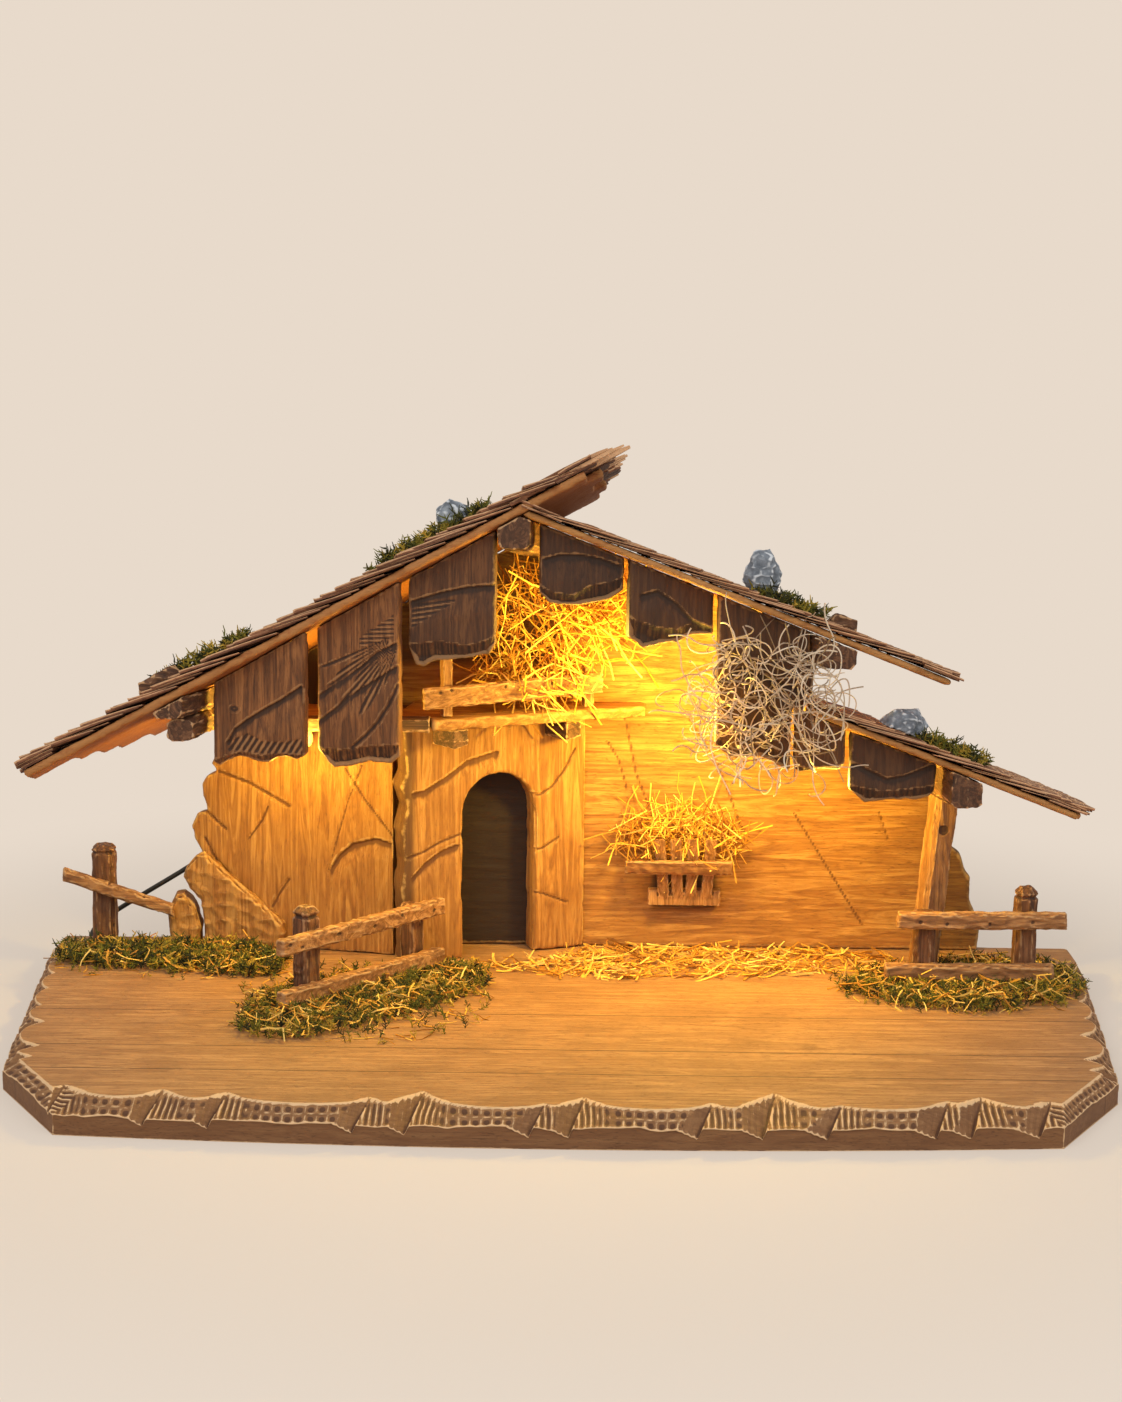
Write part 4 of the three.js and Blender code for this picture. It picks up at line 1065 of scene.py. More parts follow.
def stoneFinish():
    material, start = newMaterial("grey_stone")
    place = objectPlace(start)
    grit = place.noise(1.4, 4, 0.7)
    colour = place.noise(0.16, 5, 0.65).coloured(linearStops(stones["greys"]))
    colour = (grit.ramped(0.55, 0.75) * 0.5).mixed(colour, linear(*stones["grit"]))
    colour = attribute(start, "relief").ramped(0.15, 0.5).mixed(colour, linear(*stones["worn"]))
    finishMaterial(start, colour, 0.82, grit, 0.35)
    return material


def stoneShape(seed):
    def shape(points, normals):
        broken = scoops(points[:, 0] + points[:, 1], points[:, 2], (6, 5), seed)
        return 0.6 * lumps(points, 6, seed) + 0.3 * lumps(points, 1.8, seed + 1) - 0.5 * broken, 0.0
    return shape


def stretchStone(mesh, factors):
    points, _, _ = readMesh(mesh)
    foot = (points.max(0) + points.min(0)) / 2
    foot[2] = points[:, 2].min()
    mesh.vertices.foreach_set("co", ((foot + (points - foot) * factors) * mm).ravel())
    mesh.update()


def makeStones():
    finish = stoneFinish()
    for i, (node, factors) in enumerate(stones["stretch"].items()):
        shape = stoneShape(stones["seed"] + i)
        piece = carve(f"{node}_rough", node, stones["voxel"], shape, finish)
        stretchStone(piece.data, factors)


makeRoofBoards()
makeStones()
print("roof boards and stones made")


# base board: a rim of closely spaced columns, each running down the face and in over the carved edge

base = {
    "halfWidth": 300, "half": 148, "bow": 11, "frontInset": 50, "cornerInset": 12, "cornerDepth": 68,
    "backInset": 2, "backDepth": 33, "height": 18, "drop": 7, "step": 0.85, "reach": 40,
    # how far in each edge is carved, and how far beside a V cut it still swings in further
    "runs": {"front": 8.5, "corner": 6.5, "side": 3.8, "back": 3.5}, "swoop": 12,
    # V cuts: depth at the rim, place and length of each, widths of their two sides, lean
    "nick": 12, "nickReach": 45,
    "frontNicks": [(-247, 25), (-197, 22), (-164.5, 21), (-93, 19.5), (-67, 31), (-6, 16), (13.5, 25),
                   (77, 18), (109, 34), (141, 16), (194.5, 20), (212, 26), (246, 19)],
    "sideNicks": [(-80, 15), (-62, 17), (-21, 15), (9, 9.5), (40, 9.5), (69, 9.5), (97, 9)],
    "frontSlopes": (25, 5), "frontDrift": 8, "sideSlopes": (12, 6), "sideDrift": 2,
    # length of a pressed dimple, of a rib beside a V cut, and their depth
    "dimple": 5.4, "rib": 3.2, "pressed": 1.2,
    # rows of the face, from the top down, as shares of its height
    "faceRows": (0.94, 0.82, 0.68, 0.52, 0.36, 0.2, 0.08, 0),
    # y of the glued seams in the deck, and the stain of its cuts
    "seams": (-97, -58, 2.5), "stained": (88, 50, 25),
}


def longEdge(x):
    share = x / (base["halfWidth"] - base["frontInset"])
    return base["half"] + base["bow"] * np.maximum(1 - share * share, 0)


def baseCorners():
    # the right half's corners, from the front's end to the back's
    wide, half = base["halfWidth"], base["half"]
    return [(wide - base["frontInset"], -half), (wide - base["cornerInset"], base["cornerDepth"] - half),
            (wide, half - base["backDepth"]), (wide - base["backInset"], half)]


def baseNicks():
    # tip, length, heading, slopes and drift of each V
    nicks = [((x, length - longEdge(x)), length, 0, base["frontSlopes"], base["frontDrift"])
             for x, length in base["frontNicks"]]
    span = 2 * base["half"] - base["cornerDepth"] - base["backDepth"]
    wide, steep = base["sideSlopes"]
    for y, length in base["sideNicks"]:
        share = (y + base["half"] - base["cornerDepth"]) / span
        face = base["halfWidth"] - base["cornerInset"] * (1 - share)
        nicks.append(((-(face - length), y), length, -90, (wide, steep), base["sideDrift"]))
        nicks.append(((face - length, y), length, 90, (steep, wide), -base["sideDrift"]))
    return nicks


def unitRows(rows):
    return rows / np.linalg.norm(rows, axis=1)[:, None]


def perimeter():
    # points round the board, from the front left corner along the front, and the way in from each
    low, *right = baseCorners()
    bowed = np.linspace(-low[0], low[0], 120)
    ring = [(x, -longEdge(x)) for x in bowed] + right + [(x, longEdge(x)) for x in bowed[::-1]]
    ring += [(-x, y) for x, y in right[::-1]]
    ring = np.array(ring + ring[:1])
    along = np.concatenate(([0], np.cumsum(np.linalg.norm(np.diff(ring, axis=0), axis=1))))
    start, places = 0.0, []
    while start < along[-1] - 0.5:
        places.append(start)
        atBack = np.interp(start, along, ring[:, 1]) > base["half"] - 2
        start += base["step"] * (3 if atBack else 1)
    points = np.stack([np.interp(places, along, ring[:, axis]) for axis in (0, 1)], axis=1)
    ahead = np.roll(points, -1, axis=0) - np.roll(points, 1, axis=0)
    inward = unitRows(np.stack((-ahead[:, 1], ahead[:, 0]), axis=1))
    wide = int(30 / base["step"])
    inward = unitRows(sum(np.roll(inward, shift, axis=0) for shift in range(-wide, wide + 1)))
    # the rows lie closer together at the sides and the back, where less is carved
    spacing = np.interp(points[:, 1], [-120, -60, 60, 100], [1, 0.55, 0.55, 0.3])
    return points, inward * spacing[:, None]


def fromLine(x, y, start, end):
    # how far inside a straight face a point is, the board's outline running from start to end
    run = math.hypot(end[0] - start[0], end[1] - start[1])
    return ((end[0] - start[0]) * (y - start[1]) - (end[1] - start[1]) * (x - start[0])) / run


def edgeRuns(x, y, nicks):
    # how far in each face is carved, and how near a point is to a V cut
    runs = {key: np.full(x.shape, float(value)) for key, value in base["runs"].items()}
    near = np.zeros(x.shape)
    for (tipX, tipY), length, heading, _, _ in nicks:
        key = "side" if heading else "front"
        away = np.abs(y - tipY) + 400 * (x * tipX < 0) if heading else np.abs(x - tipX)
        fade = np.exp(-away / (base["swoop"] * (0.6 if heading else 1)))
        plain = base["runs"][key]
        runs[key] = np.maximum(runs[key], plain + (length * 0.97 - plain) * fade)
        near = np.maximum(near, fade)
    return runs, near


def cutNicks(x, y, height, nicks):
    # the height with the V cuts in it, and 1 where they are
    nicked = np.zeros(x.shape)
    for (tipX, tipY), length, heading, (wide, steep), drift in nicks:
        angle = math.radians(heading)
        u = (x - tipX) * math.cos(angle) + (y - tipY) * math.sin(angle)
        v = (y - tipY) * math.cos(angle) - (x - tipX) * math.sin(angle)
        off = u - v * drift / length
        slope = np.where(off > 0, base["nick"] / steep, base["nick"] / wide)
        valley = base["height"] + base["nick"] / length * v + slope * np.abs(off)
        striped = 0.22 * np.sin(off * 2.1 + 0.4 * v) * (off < 0)
        within = (np.abs(u) < base["nickReach"]) & (v < 2)
        nicked = np.where((valley < height) & within, 1, nicked)
        height = np.where(within, np.minimum(height, valley + striped), height)
    return height, nicked


def deckSurface(x, y, nicks):
    # height of the board's top, how dark it is stained, and how worn or hollow
    low, middle, high, last = baseCorners()
    side = np.abs(x)
    faces = {
        "front": y + longEdge(x), "corner": fromLine(side, y, low, middle),
        "side": np.minimum(fromLine(side, y, middle, high), fromLine(side, y, high, last)),
        "back": longEdge(x) - y,
    }
    runs, near = edgeRuns(x, y, nicks)
    place = np.stack((x, y, np.zeros(x.shape)), axis=1)
    drop = base["drop"] + 1.1 * lumps(place, 13, 3) + 0.5 * lumps(place, 5, 4)
    cut, across = np.zeros(x.shape), np.ones(x.shape)
    for key, inside in faces.items():
        share = np.clip(1 - inside / runs[key], 0, 1)
        across = np.where(share > cut, 1 - share, across)
        cut = np.maximum(cut, share)
    alongFront = (faces["front"] < faces["side"]) & (faces["front"] < faces["corner"])
    along = np.where(alongFront, x, y * 0.9 + x * 0.4) + 1.6 * lumps(place, 18, 5)
    awayFromBack = faces["back"] > 12
    onEdge = (cut > 0) & awayFromBack
    dimples = np.sin(math.pi * along / base["dimple"]) ** 2 * np.sin(2 * math.pi * across) ** 2
    ribbed = np.sin(math.pi * along / base["rib"]) ** 2 * np.sin(math.pi * across) ** 0.5
    ribShare = np.clip(near * 2.2 - 0.5, 0, 1)
    pressed = onEdge * ((1 - ribShare) * dimples + ribShare * 0.8 * ribbed)
    height = base["height"] - drop * cut ** 0.85 - base["pressed"] * pressed
    height, nicked = cutNicks(x, y, height, nicks)
    lip = np.clip(1 - np.abs(height - base["height"] + 0.4) / 0.4, 0, 1) * awayFromBack
    # painted shade darkens the pressed dimples; the rest of the carved edge is a little paler, worn
    stainAndShade = onEdge * (1 - nicked) * (0.16 - 0.9 * pressed)
    return height, np.maximum(np.clip(cut * 3, 0, 1) * 0.5, nicked * 0.62), 0.75 * lip + stainAndShade


def ringFaces(first, rings, count):
    # the faces of a closed tube, whose rings of so many points start at the first
    faces = []
    for ring in range(rings - 1):
        for corner in range(count):
            a = first + ring * count + corner
            b = first + ring * count + (corner + 1) % count
            faces.append((a, b, b + count, a + count))
    faces.append(tuple(first + corner for corner in reversed(range(count))))
    faces.append(tuple(first + (rings - 1) * count + corner for corner in range(count)))
    return faces


def makeBase():
    points, inward = perimeter()
    nicks = baseNicks()
    rows, tones, lips = [], [], []
    for inset in np.concatenate((np.arange(0, 16, 0.8), np.arange(16, base["reach"] + 0.1, 2))):
        at = points + inward * inset
        height, onCut, onLip = deckSurface(at[:, 0], at[:, 1], nicks)
        rows.append(np.column_stack((at, height)))
        tones.append(onCut)
        lips.append(onLip)
    rows[-1][:, 2] = base["height"]
    lip = rows[0][:, 2]
    for share in base["faceRows"]:
        level = lip * share
        wave = 0.35 * lumps(np.column_stack((points, level * 3)), 14, 8) * min(share * 4, 1)
        at = points + inward * (0.35 + wave)[:, None] * (share > 0)
        rows.insert(0, np.column_stack((at, level)))
        tones.insert(0, np.full(len(points), 0.8))
        lips.insert(0, np.zeros(len(points)))
    mesh = bpy.data.meshes.new("base_board_carved")
    corners = [tuple(place) for place in np.concatenate(rows) * mm]
    mesh.from_pydata(corners, [], ringFaces(0, len(rows), len(points)))
    setRelief(mesh, 1, np.concatenate(lips))
    setAttribute(mesh, "tone", np.concatenate(tones))
    mesh.shade_smooth()
    mesh.materials.append(wood(
        "base_board_wood", "base", "x", ownTone=0.85, toned=base["stained"], seams=base["seams"]))
    asPiece("base_board_carved", mesh, ["base_board"])


makeBase()
print("base board carved")


# lamps and plug, whose solids have the right shape already

lampLook = {"deep": (255, 214, 132), "pale": (255, 232, 176), "glow": (255, 196, 84), "strength": 1.0}


def lampGlass():
    material, start = newMaterial("lamp_glass")
    cloud = objectPlace(start).noise(0.5, 3)
    deep, pale, light = (linear(*lampLook[key]) for key in ("deep", "pale", "glow"))
    glass = start.node("ShaderNodeBsdfPrincipled", {}, {
        "Base Color": cloud.ramped(0.3, 0.7).mixed(deep, pale), "Roughness": 0.25 + 0.2 * cloud,
        "Emission Color": light, "Emission Strength": lampLook["strength"],
    })
    start.node("ShaderNodeOutputMaterial", {}, {"Surface": glass})
    return material


def refinish(node, material):
    slots = frame["nodes"][node].data.materials
    slots.clear()
    slots.append(material)


glowing = lampGlass()
for node in ("lamp_left", "lamp_gable", "lamp_right"):
    refinish(node, glowing)
refinish("plug", leadMaterial)
print("lamps and plug finished")


# small forms that repeat: shingles, stalks, sprigs and curls

def formObject(collection, name, points, faces, relief=None):
    mesh = bpy.data.meshes.new(name)
    mesh.from_pydata([tuple(Vector(point) * mm) for point in points], [], faces)
    if relief is not None:
        setAttribute(mesh, "relief", relief)
    form = bpy.data.objects.new(name, mesh)
    collection.objects.link(form)


def newForms(name):
    collection = bpy.data.collections.new(name)
    scene.collection.children.link(collection)
    return collection


def dropForms(*collections):
    for collection in collections:
        for form in list(collection.objects):
            bpy.data.objects.remove(form)
        bpy.data.collections.remove(collection)


def tubeForm(paths, radius, taper):
    # closed three-sided tubes along paths, thinner towards their ends, as points and faces
    sides, points, faces = 3, [], []
    for path in paths:
        first = len(points)
        path = [Vector(point) for point in path]
        for i, at in enumerate(path):
            ahead = (path[min(i + 1, len(path) - 1)] - path[max(i - 1, 0)]).normalized()
            side = ahead.cross(Vector((0.31, 0.17, 0.94))).normalized()
            over = side.cross(ahead)
            size = radius * (1 - (1 - taper) * i / (len(path) - 1))
            for corner in range(sides):
                angle = 2 * math.pi * corner / sides
                points.append(at + size * (math.cos(angle) * side + math.sin(angle) * over))
        faces += ringFaces(first, len(path), sides)
    return points, faces


def stalkForms(name, count, length, bow, radius, seed):
    forms, draw = newForms(name), random.Random(seed)
    for i in range(count):
        size = length * draw.uniform(0.6, 1.2)
        side, lift = draw.uniform(-bow, bow), draw.uniform(-bow, bow)
        kink = draw.uniform(0.3, 0.7)
        path = []
        for step in range(5):
            share = step / 4
            arch = math.sin(math.pi * share) * side + (3 if share > kink else 0) * draw.uniform(-1, 1)
            path.append(((share - 0.5) * size, arch, lift * share * share))
        formObject(forms, f"{name}_{i}", *tubeForm([path], radius, 0.6))
    return forms


def sprigForms(name, count, height, radius, seed, needles):
    forms, draw = newForms(name), random.Random(seed)
    for i in range(count):
        lean = (draw.uniform(-0.5, 0.5), draw.uniform(-0.5, 0.5))
        tall = height * draw.uniform(0.7, 1.15)

        def onStem(t):
            return Vector((lean[0] * tall * t * t, lean[1] * tall * t * t, -1.2 + tall * t))

        paths = [[onStem(t) for t in (0, 0.35, 0.7, 1)]]
        for needle in range(needles):
            turn = needle * 2.4 + draw.uniform(-0.4, 0.4)
            foot = onStem(0.2 + 0.7 * needle / needles)
            reach = tall * draw.uniform(0.3, 0.5)
            out = Vector((math.cos(turn), math.sin(turn), draw.uniform(0.1, 0.8))) * reach
            curl = Vector((0, 0, reach * draw.uniform(-0.1, 0.35)))
            paths.append([foot, foot + out * 0.55, foot + out + curl])
        formObject(forms, f"{name}_{i}", *tubeForm(paths, radius, 0.3))
    return forms


def curlForms(name, count, steps, stride, radius, seed):
    forms, draw = newForms(name), random.Random(seed)
    for i in range(count):
        at, ahead, path = Vector((0, 0, 0)), Vector((1, 0, 0)), []
        tip = (draw.uniform(-0.5, 0.5), draw.uniform(-0.5, 0.5), draw.choice((-1, 1)))
        axis = Vector(tip).normalized()
        turn = draw.uniform(0.1, 0.36)
        for step in range(steps):
            path.append(at.copy())
            turn += draw.uniform(-0.07, 0.07)
            if draw.random() < 0.06:
                axis.negate()
            axis = (axis + Vector([draw.uniform(-0.14, 0.14) for _ in range(3)])).normalized()
            ahead = Matrix.Rotation(turn, 3, axis) @ ahead
            at += ahead * stride
        middle = sum(path, Vector()) / steps
        formObject(forms, f"{name}_{i}", *tubeForm([[at - middle for at in path]], radius, 0.8))
    return forms


def addInput(tree, name, kind):
    return tree.interface.new_socket(name, in_out="INPUT", socket_type=kind).identifier


def emptyTree(name, inputs):
    tree = bpy.data.node_groups.new(name, "GeometryNodeTree")
    tree.interface.new_socket("Geometry", in_out="INPUT", socket_type="NodeSocketGeometry")
    tree.interface.new_socket("Geometry", in_out="OUTPUT", socket_type="NodeSocketGeometry")
    identifiers = {key: addInput(tree, key, "NodeSocket" + kind) for key, kind in inputs.items()}
    entry = Wire(tree).node("NodeGroupInput", out="Geometry")
    return tree, identifiers, entry


def randomValue(start, kind, low, high, seed):
    # kind is FLOAT_VECTOR, FLOAT or INT
    first = {"FLOAT_VECTOR": 0, "FLOAT": 2, "INT": 4}[kind]
    ends = {first: low, first + 1: high, "Seed": seed}
    return start.node("FunctionNodeRandomValue", {"data_type": kind}, ends, out=first // 2)


def timesVector(start, vector, factor):
    return start.node("ShaderNodeVectorMath", {"operation": "SCALE"},
                      {"Vector": vector, "Scale": factor})


def pushed(start, points, direction, amount):
    offset = timesVector(start, direction, amount)
    return start.node("GeometryNodeSetPosition", {}, {"Geometry": points, "Offset": offset})


def turned(start, rotation, by):
    return start.node("FunctionNodeRotateRotation", {"rotation_space": "LOCAL"}, {
        "Rotation": rotation, "Rotate By": by,
    })


def placeForms(entry, points, rotation, scale):
    # the closing part of both trees: forms on points, each with its own tone, as plain mesh
    seed = entry.also("Seed")
    forms = entry.node("GeometryNodeCollectionInfo", {}, {
        "Collection": entry.also("Forms"), "Separate Children": True, "Reset Children": True,
    })
    placed = entry.node("GeometryNodeInstanceOnPoints", {}, {
        "Points": points, "Instance": forms, "Pick Instance": True, "Rotation": rotation, "Scale": scale,
        "Instance Index": randomValue(entry, "INT", 0, 997, seed + 5),
    })
    toned = entry.node("GeometryNodeStoreNamedAttribute", {"data_type": "FLOAT", "domain": "INSTANCE"}, {
        "Geometry": placed, "Name": "tone", "Value": randomValue(entry, "FLOAT", 0.0, 1.0, seed + 9),
    })
    real = entry.node("GeometryNodeRealizeInstances", {}, {"Geometry": toned})
    painted = entry.node("GeometryNodeSetMaterial", {}, {
        "Geometry": real, "Material": entry.also("Finish"),
    })
    entry.node("NodeGroupOutput", {}, {"Geometry": painted})


def scatterTree():
    tree, identifiers, entry = emptyTree("scatter_forms", {
        "Density": "Float", "Seed": "Int", "Smallest": "Float", "Largest": "Float", "Lean": "Vector",
        "Sink": "Float", "Forms": "Collection", "Finish": "Material",
    })
    seed = entry.also("Seed")
    spread = entry.node("GeometryNodeDistributePointsOnFaces", {}, {
        "Mesh": entry, "Density": entry.also("Density"), "Seed": seed,
    })
    depth = randomValue(entry, "FLOAT", 0.0, entry.also("Sink"), seed + 1)
    points = pushed(entry, spread, spread.also("Normal"), depth * -1.0)
    lean = entry.also("Lean")
    leaning = randomValue(entry, "FLOAT_VECTOR", timesVector(entry, lean, -1.0), lean, seed + 2)
    rotation = turned(entry, spread.also("Rotation"), leaning)
    scale = randomValue(entry, "FLOAT", entry.also("Smallest"), entry.also("Largest"), seed + 3)
    placeForms(entry, points, rotation, scale)
    return tree, identifiers


def shingleTree():
    tree, identifiers, entry = emptyTree("lay_shingles", {
        "Course Length": "Float", "Play": "Float", "Narrowest": "Float", "Widest": "Float",
        "Thickness": "Float", "Up": "Vector", "Seed": "Int", "Forms": "Collection", "Finish": "Material",
    })
    seed, up, play = (entry.also(name) for name in ("Seed", "Up", "Play"))
    lines = entry.node("GeometryNodeMeshToCurve", {}, {"Mesh": entry})
    laid = entry.node("GeometryNodeCurveToPoints", {"mode": "LENGTH"}, {
        "Curve": lines, "Length": entry.also("Course Length"),
    })
    uphill = laid.also("Tangent")
    across = entry.node("ShaderNodeVectorMath", {"operation": "CROSS_PRODUCT"}, {0: up, 1: uphill})
    alongPlay = randomValue(entry, "FLOAT", play * -1.0, play, seed + 1)
    acrossPlay = randomValue(entry, "FLOAT", play * -0.5, play * 0.5, seed + 2)
    points = pushed(entry, pushed(entry, laid, uphill, alongPlay), across, acrossPlay)
    facing = entry.node("FunctionNodeAlignRotationToVector", {"axis": "X"}, {"Vector": uphill})
    facing = entry.node("FunctionNodeAlignRotationToVector", {"axis": "Z", "pivot_axis": "X"}, {
        "Rotation": facing, "Vector": up,
    })
    skew = Vector((0.02, 0.012, 0.05))
    facing = turned(entry, facing, randomValue(entry, "FLOAT_VECTOR", -skew, skew, seed + 4))
    width = randomValue(entry, "FLOAT", entry.also("Narrowest"), entry.also("Widest"), seed + 3)
    scale = entry.node("ShaderNodeCombineXYZ", {}, {
        "X": randomValue(entry, "FLOAT", 0.9, 1.1, seed + 6), "Y": width, "Z": entry.also("Thickness"),
    })
    placeForms(entry, points, facing, scale)
    return tree, identifiers


def grow(treeAndInputs, emitter, values):
    # the tree's result on an emitter mesh, as a plain mesh
    tree, identifiers = treeAndInputs
    host = bpy.data.objects.new("host", emitter)
    scene.collection.objects.link(host)
    modifier = host.modifiers.new("grow", "NODES")
    modifier.node_group = tree
    for key, value in values.items():
        modifier[identifiers[key]] = value
    result = baked(host)
    host.modifiers.clear()
    bpy.data.objects.remove(host)
    return result


def joined(meshes):
    # one mesh of several with the same material
    bm = bmesh.new()
    for mesh in meshes:
        bm.from_mesh(mesh)
    for face in bm.faces:
        face.material_index = 0
    whole = bpy.data.meshes.new("joined")
    bm.to_mesh(whole)
    whole.materials.append(meshes[0].materials[-1])
    return whole


# shingles

roofs = {
    # underside of the boards: height at x on the front edge, slope and fall to the back
    # then the thickness of the boards and the cover, and the x of each strip's eave and top
    "left": {"x": -37.4, "height": 262.4, "slope": 0.552, "fall": 0.26, "boards": 5, "cover": 7.5,
             "eaves": [-293, -271, -262, -255, -240], "tops": [15, 24, 19, 26, 22]},
    "right": {"x": 17.7, "height": 252.3, "slope": -0.391, "fall": 0.148, "boards": 4, "cover": 5,
              "eaves": [209, 207, 205, 211, 207], "tops": [-22, -22, -22, -22, -22]},
    "lower": {"x": 135.6, "height": 161, "slope": -0.39, "fall": 0.148, "boards": 4, "cover": 5,
              "eaves": [281, 286, 283, 288, 284], "tops": [131, 131, 131, 131, 131]},
}
shingles = {
    "front": 30, "back": 146, "strips": [24, 22, 26, 20, 24], "rowsPerStrip": 2, "course": 8.5,
    "narrowest": 0.75, "widest": 1.35, "play": 2.6, "gap": 0.3, "width": 12, "forms": 14,
    # the cover for which the forms are thick enough; they are scaled down for a thinner one
    "fullCover": 7.5,
    # height of the lower face and thickness, each at the butt and at the tip
    "long": {"under": (5.4, 0.1), "thick": (1.9, 0.7), "length": 38, "ragged": 2.6, "seed": 3},
    # short ones that fill the eave and the top, in layers
    "short": {"under": (0.1, 0.1), "thick": (1.9, 1.3), "length": 20, "ragged": 2.2, "seed": 4},
    "layers": 3, "rise": 1.7, "shortCourse": 9,
}


def overRoof(roof, x, y, lift):
    # a point above a roof's boards
    tilt = math.atan(roof["slope"])
    height = roof["height"] + roof["slope"] * (x - roof["x"]) - roof["fall"] * (y - shingles["front"])
    away = roof["boards"] + shingles["gap"] + lift
    return Vector((x - away * math.sin(tilt), y, deck + height + away * math.cos(tilt)))


def roofUp(roof):
    return Vector((-roof["slope"], roof["fall"], 1)).normalized()


def shingleForms(name, under, thick, length, ragged, seed):
    forms, draw = newForms(name), random.Random(seed)
    half = shingles["width"] / 2
    sides = [-half, -half + 0.9, 0, half - 0.9, half]
    lengths = [0, 1.4, length * 0.35, length * 0.7, length]
    for i in range(shingles["forms"]):
        butt = [draw.uniform(-ragged, ragged) for _ in sides]
        butt[1], butt[3] = butt[0] * 0.8 + 0.2 * butt[2], butt[4] * 0.8 + 0.2 * butt[2]
        skew = draw.uniform(-1.2, 1.2)
        points, relief = [], []
        for face in (1, 0):
            for row, x in enumerate(lengths):
                share = x / length
                low = under[0] + (under[1] - under[0]) * share
                deep = thick[0] + (thick[1] - thick[0]) * share
                for column, y in enumerate(sides):
                    wave = draw.uniform(-0.45, 0.35) if row < 4 else 0
                    sway = draw.uniform(-0.3, 0.3)
                    shift = butt[column] if row < 2 else 0
                    points.append((x + shift, y + skew * share + sway, low + deep * face + wave * face))
                    rim = row == 0 or column in (0, 4)
                    # painted shade darkens each shingle's underside; the rim of its top is worn pale
                    relief.append((0.75 if rim else 0.0) if face else -0.35)
        faces = []
        for row in range(4):
            for column in range(4):
                a = row * 5 + column
                faces.append((a, a + 1, a + 6, a + 5)[::-1])
                faces.append((a + 25, a + 26, a + 31, a + 30))
        rim = [0, 1, 2, 3, 4, 9, 14, 19, 24, 23, 22, 21, 20, 15, 10, 5]
        for a, b in zip(rim, rim[1:] + rim[:1]):
            faces.append((a, b, b + 25, a + 25)[::-1])
        formObject(forms, f"{name}_{i}", points, faces, relief)
    return forms


def roofLines(roof, start, stop, lift):
    # one line uphill along each row of shingles; start and stop say how far uphill of which edge
    uphill = 1 if roof["tops"][0] > roof["eaves"][0] else -1
    depth = shingles["back"] - shingles["front"]
    total, rows = sum(shingles["strips"]), shingles["rowsPerStrip"]
    points, edges, y = [], [], shingles["front"]
    for i, strip in enumerate(shingles["strips"]):
        width = strip / total * depth / rows
        for row in range(rows):
            edges.append((len(points), len(points) + 1))
            for edge, offset in (start, stop):
                x = roof[edge][i] + uphill * offset
                points.append(tuple(overRoof(roof, x, y + width * (row + 0.5), lift) * mm))
        y += width * rows
    mesh = bpy.data.meshes.new("rows")
    mesh.from_pydata(points, edges, [])
    return mesh


def layShingles():
    tree = shingleTree()
    cover = wood("shingle_wood_x", "shingle", "x", ownTone=0.55, toned=woods["shingle"]["dark"])
    long = shingleForms("shingle", **shingles["long"])
    short = shingleForms("starter", **shingles["short"])
    highest = 4 - shingles["long"]["length"]  # of a long one's butt, from the top edge
    for i, (side, roof) in enumerate(roofs.items()):
        thickness = roof["cover"] / shingles["fullCover"]
        values = {
            "Course Length": shingles["course"] * mm, "Play": shingles["play"] * mm,
            "Narrowest": shingles["narrowest"], "Widest": shingles["widest"], "Thickness": thickness,
            "Up": roofUp(roof), "Finish": cover, "Forms": long, "Seed": 20 + i,
        }
        parts = [grow(tree, roofLines(roof, ("eaves", 1), ("tops", highest), 0), values)]
        values.update({"Course Length": shingles["shortCourse"] * mm, "Forms": short})
        for layer in range(shingles["layers"]):
            lift = layer * shingles["rise"] * roof["cover"] / shingles["fullCover"]
            eaveRow = roofLines(roof, ("eaves", 1), ("eaves", 4), lift)
            topRow = roofLines(roof, ("tops", 2), ("tops", -2), lift)
            for row, lines in enumerate((eaveRow, topRow)):
                values["Seed"] = 30 + 10 * i + 2 * layer + row
                parts.append(grow(tree, lines, values))
        asPiece(f"{side}_roof_shingles_split", joined(parts), [f"{side}_roof_shingles"])
    dropForms(long, short)


splinters = [
    # y, lift over the boards, how far each reaches past the ridge end, length, width, thickness
    (32, 1, 9, 60, 5, 2), (38, 4, 2, 46, 7, 2.4), (45, 0, 12, 64, 6, 2), (52, 5, 5, 50, 5, 2),
    (58, 2, 13, 70, 7, 2.6), (66, 6, 1, 44, 6, 2), (72, 1, 10, 60, 6, 2), (80, 5, 6, 54, 7, 2.2),
    (88, 2, 12, 66, 6, 2.4), (96, 6, 3, 44, 6, 2), (104, 1, 9, 58, 7, 2.2), (113, 4, 12, 62, 6, 2),
    (121, 2, 5, 52, 7, 2.2), (130, 5, 10, 56, 6, 2), (139, 1, 7, 50, 6, 2.2),
]


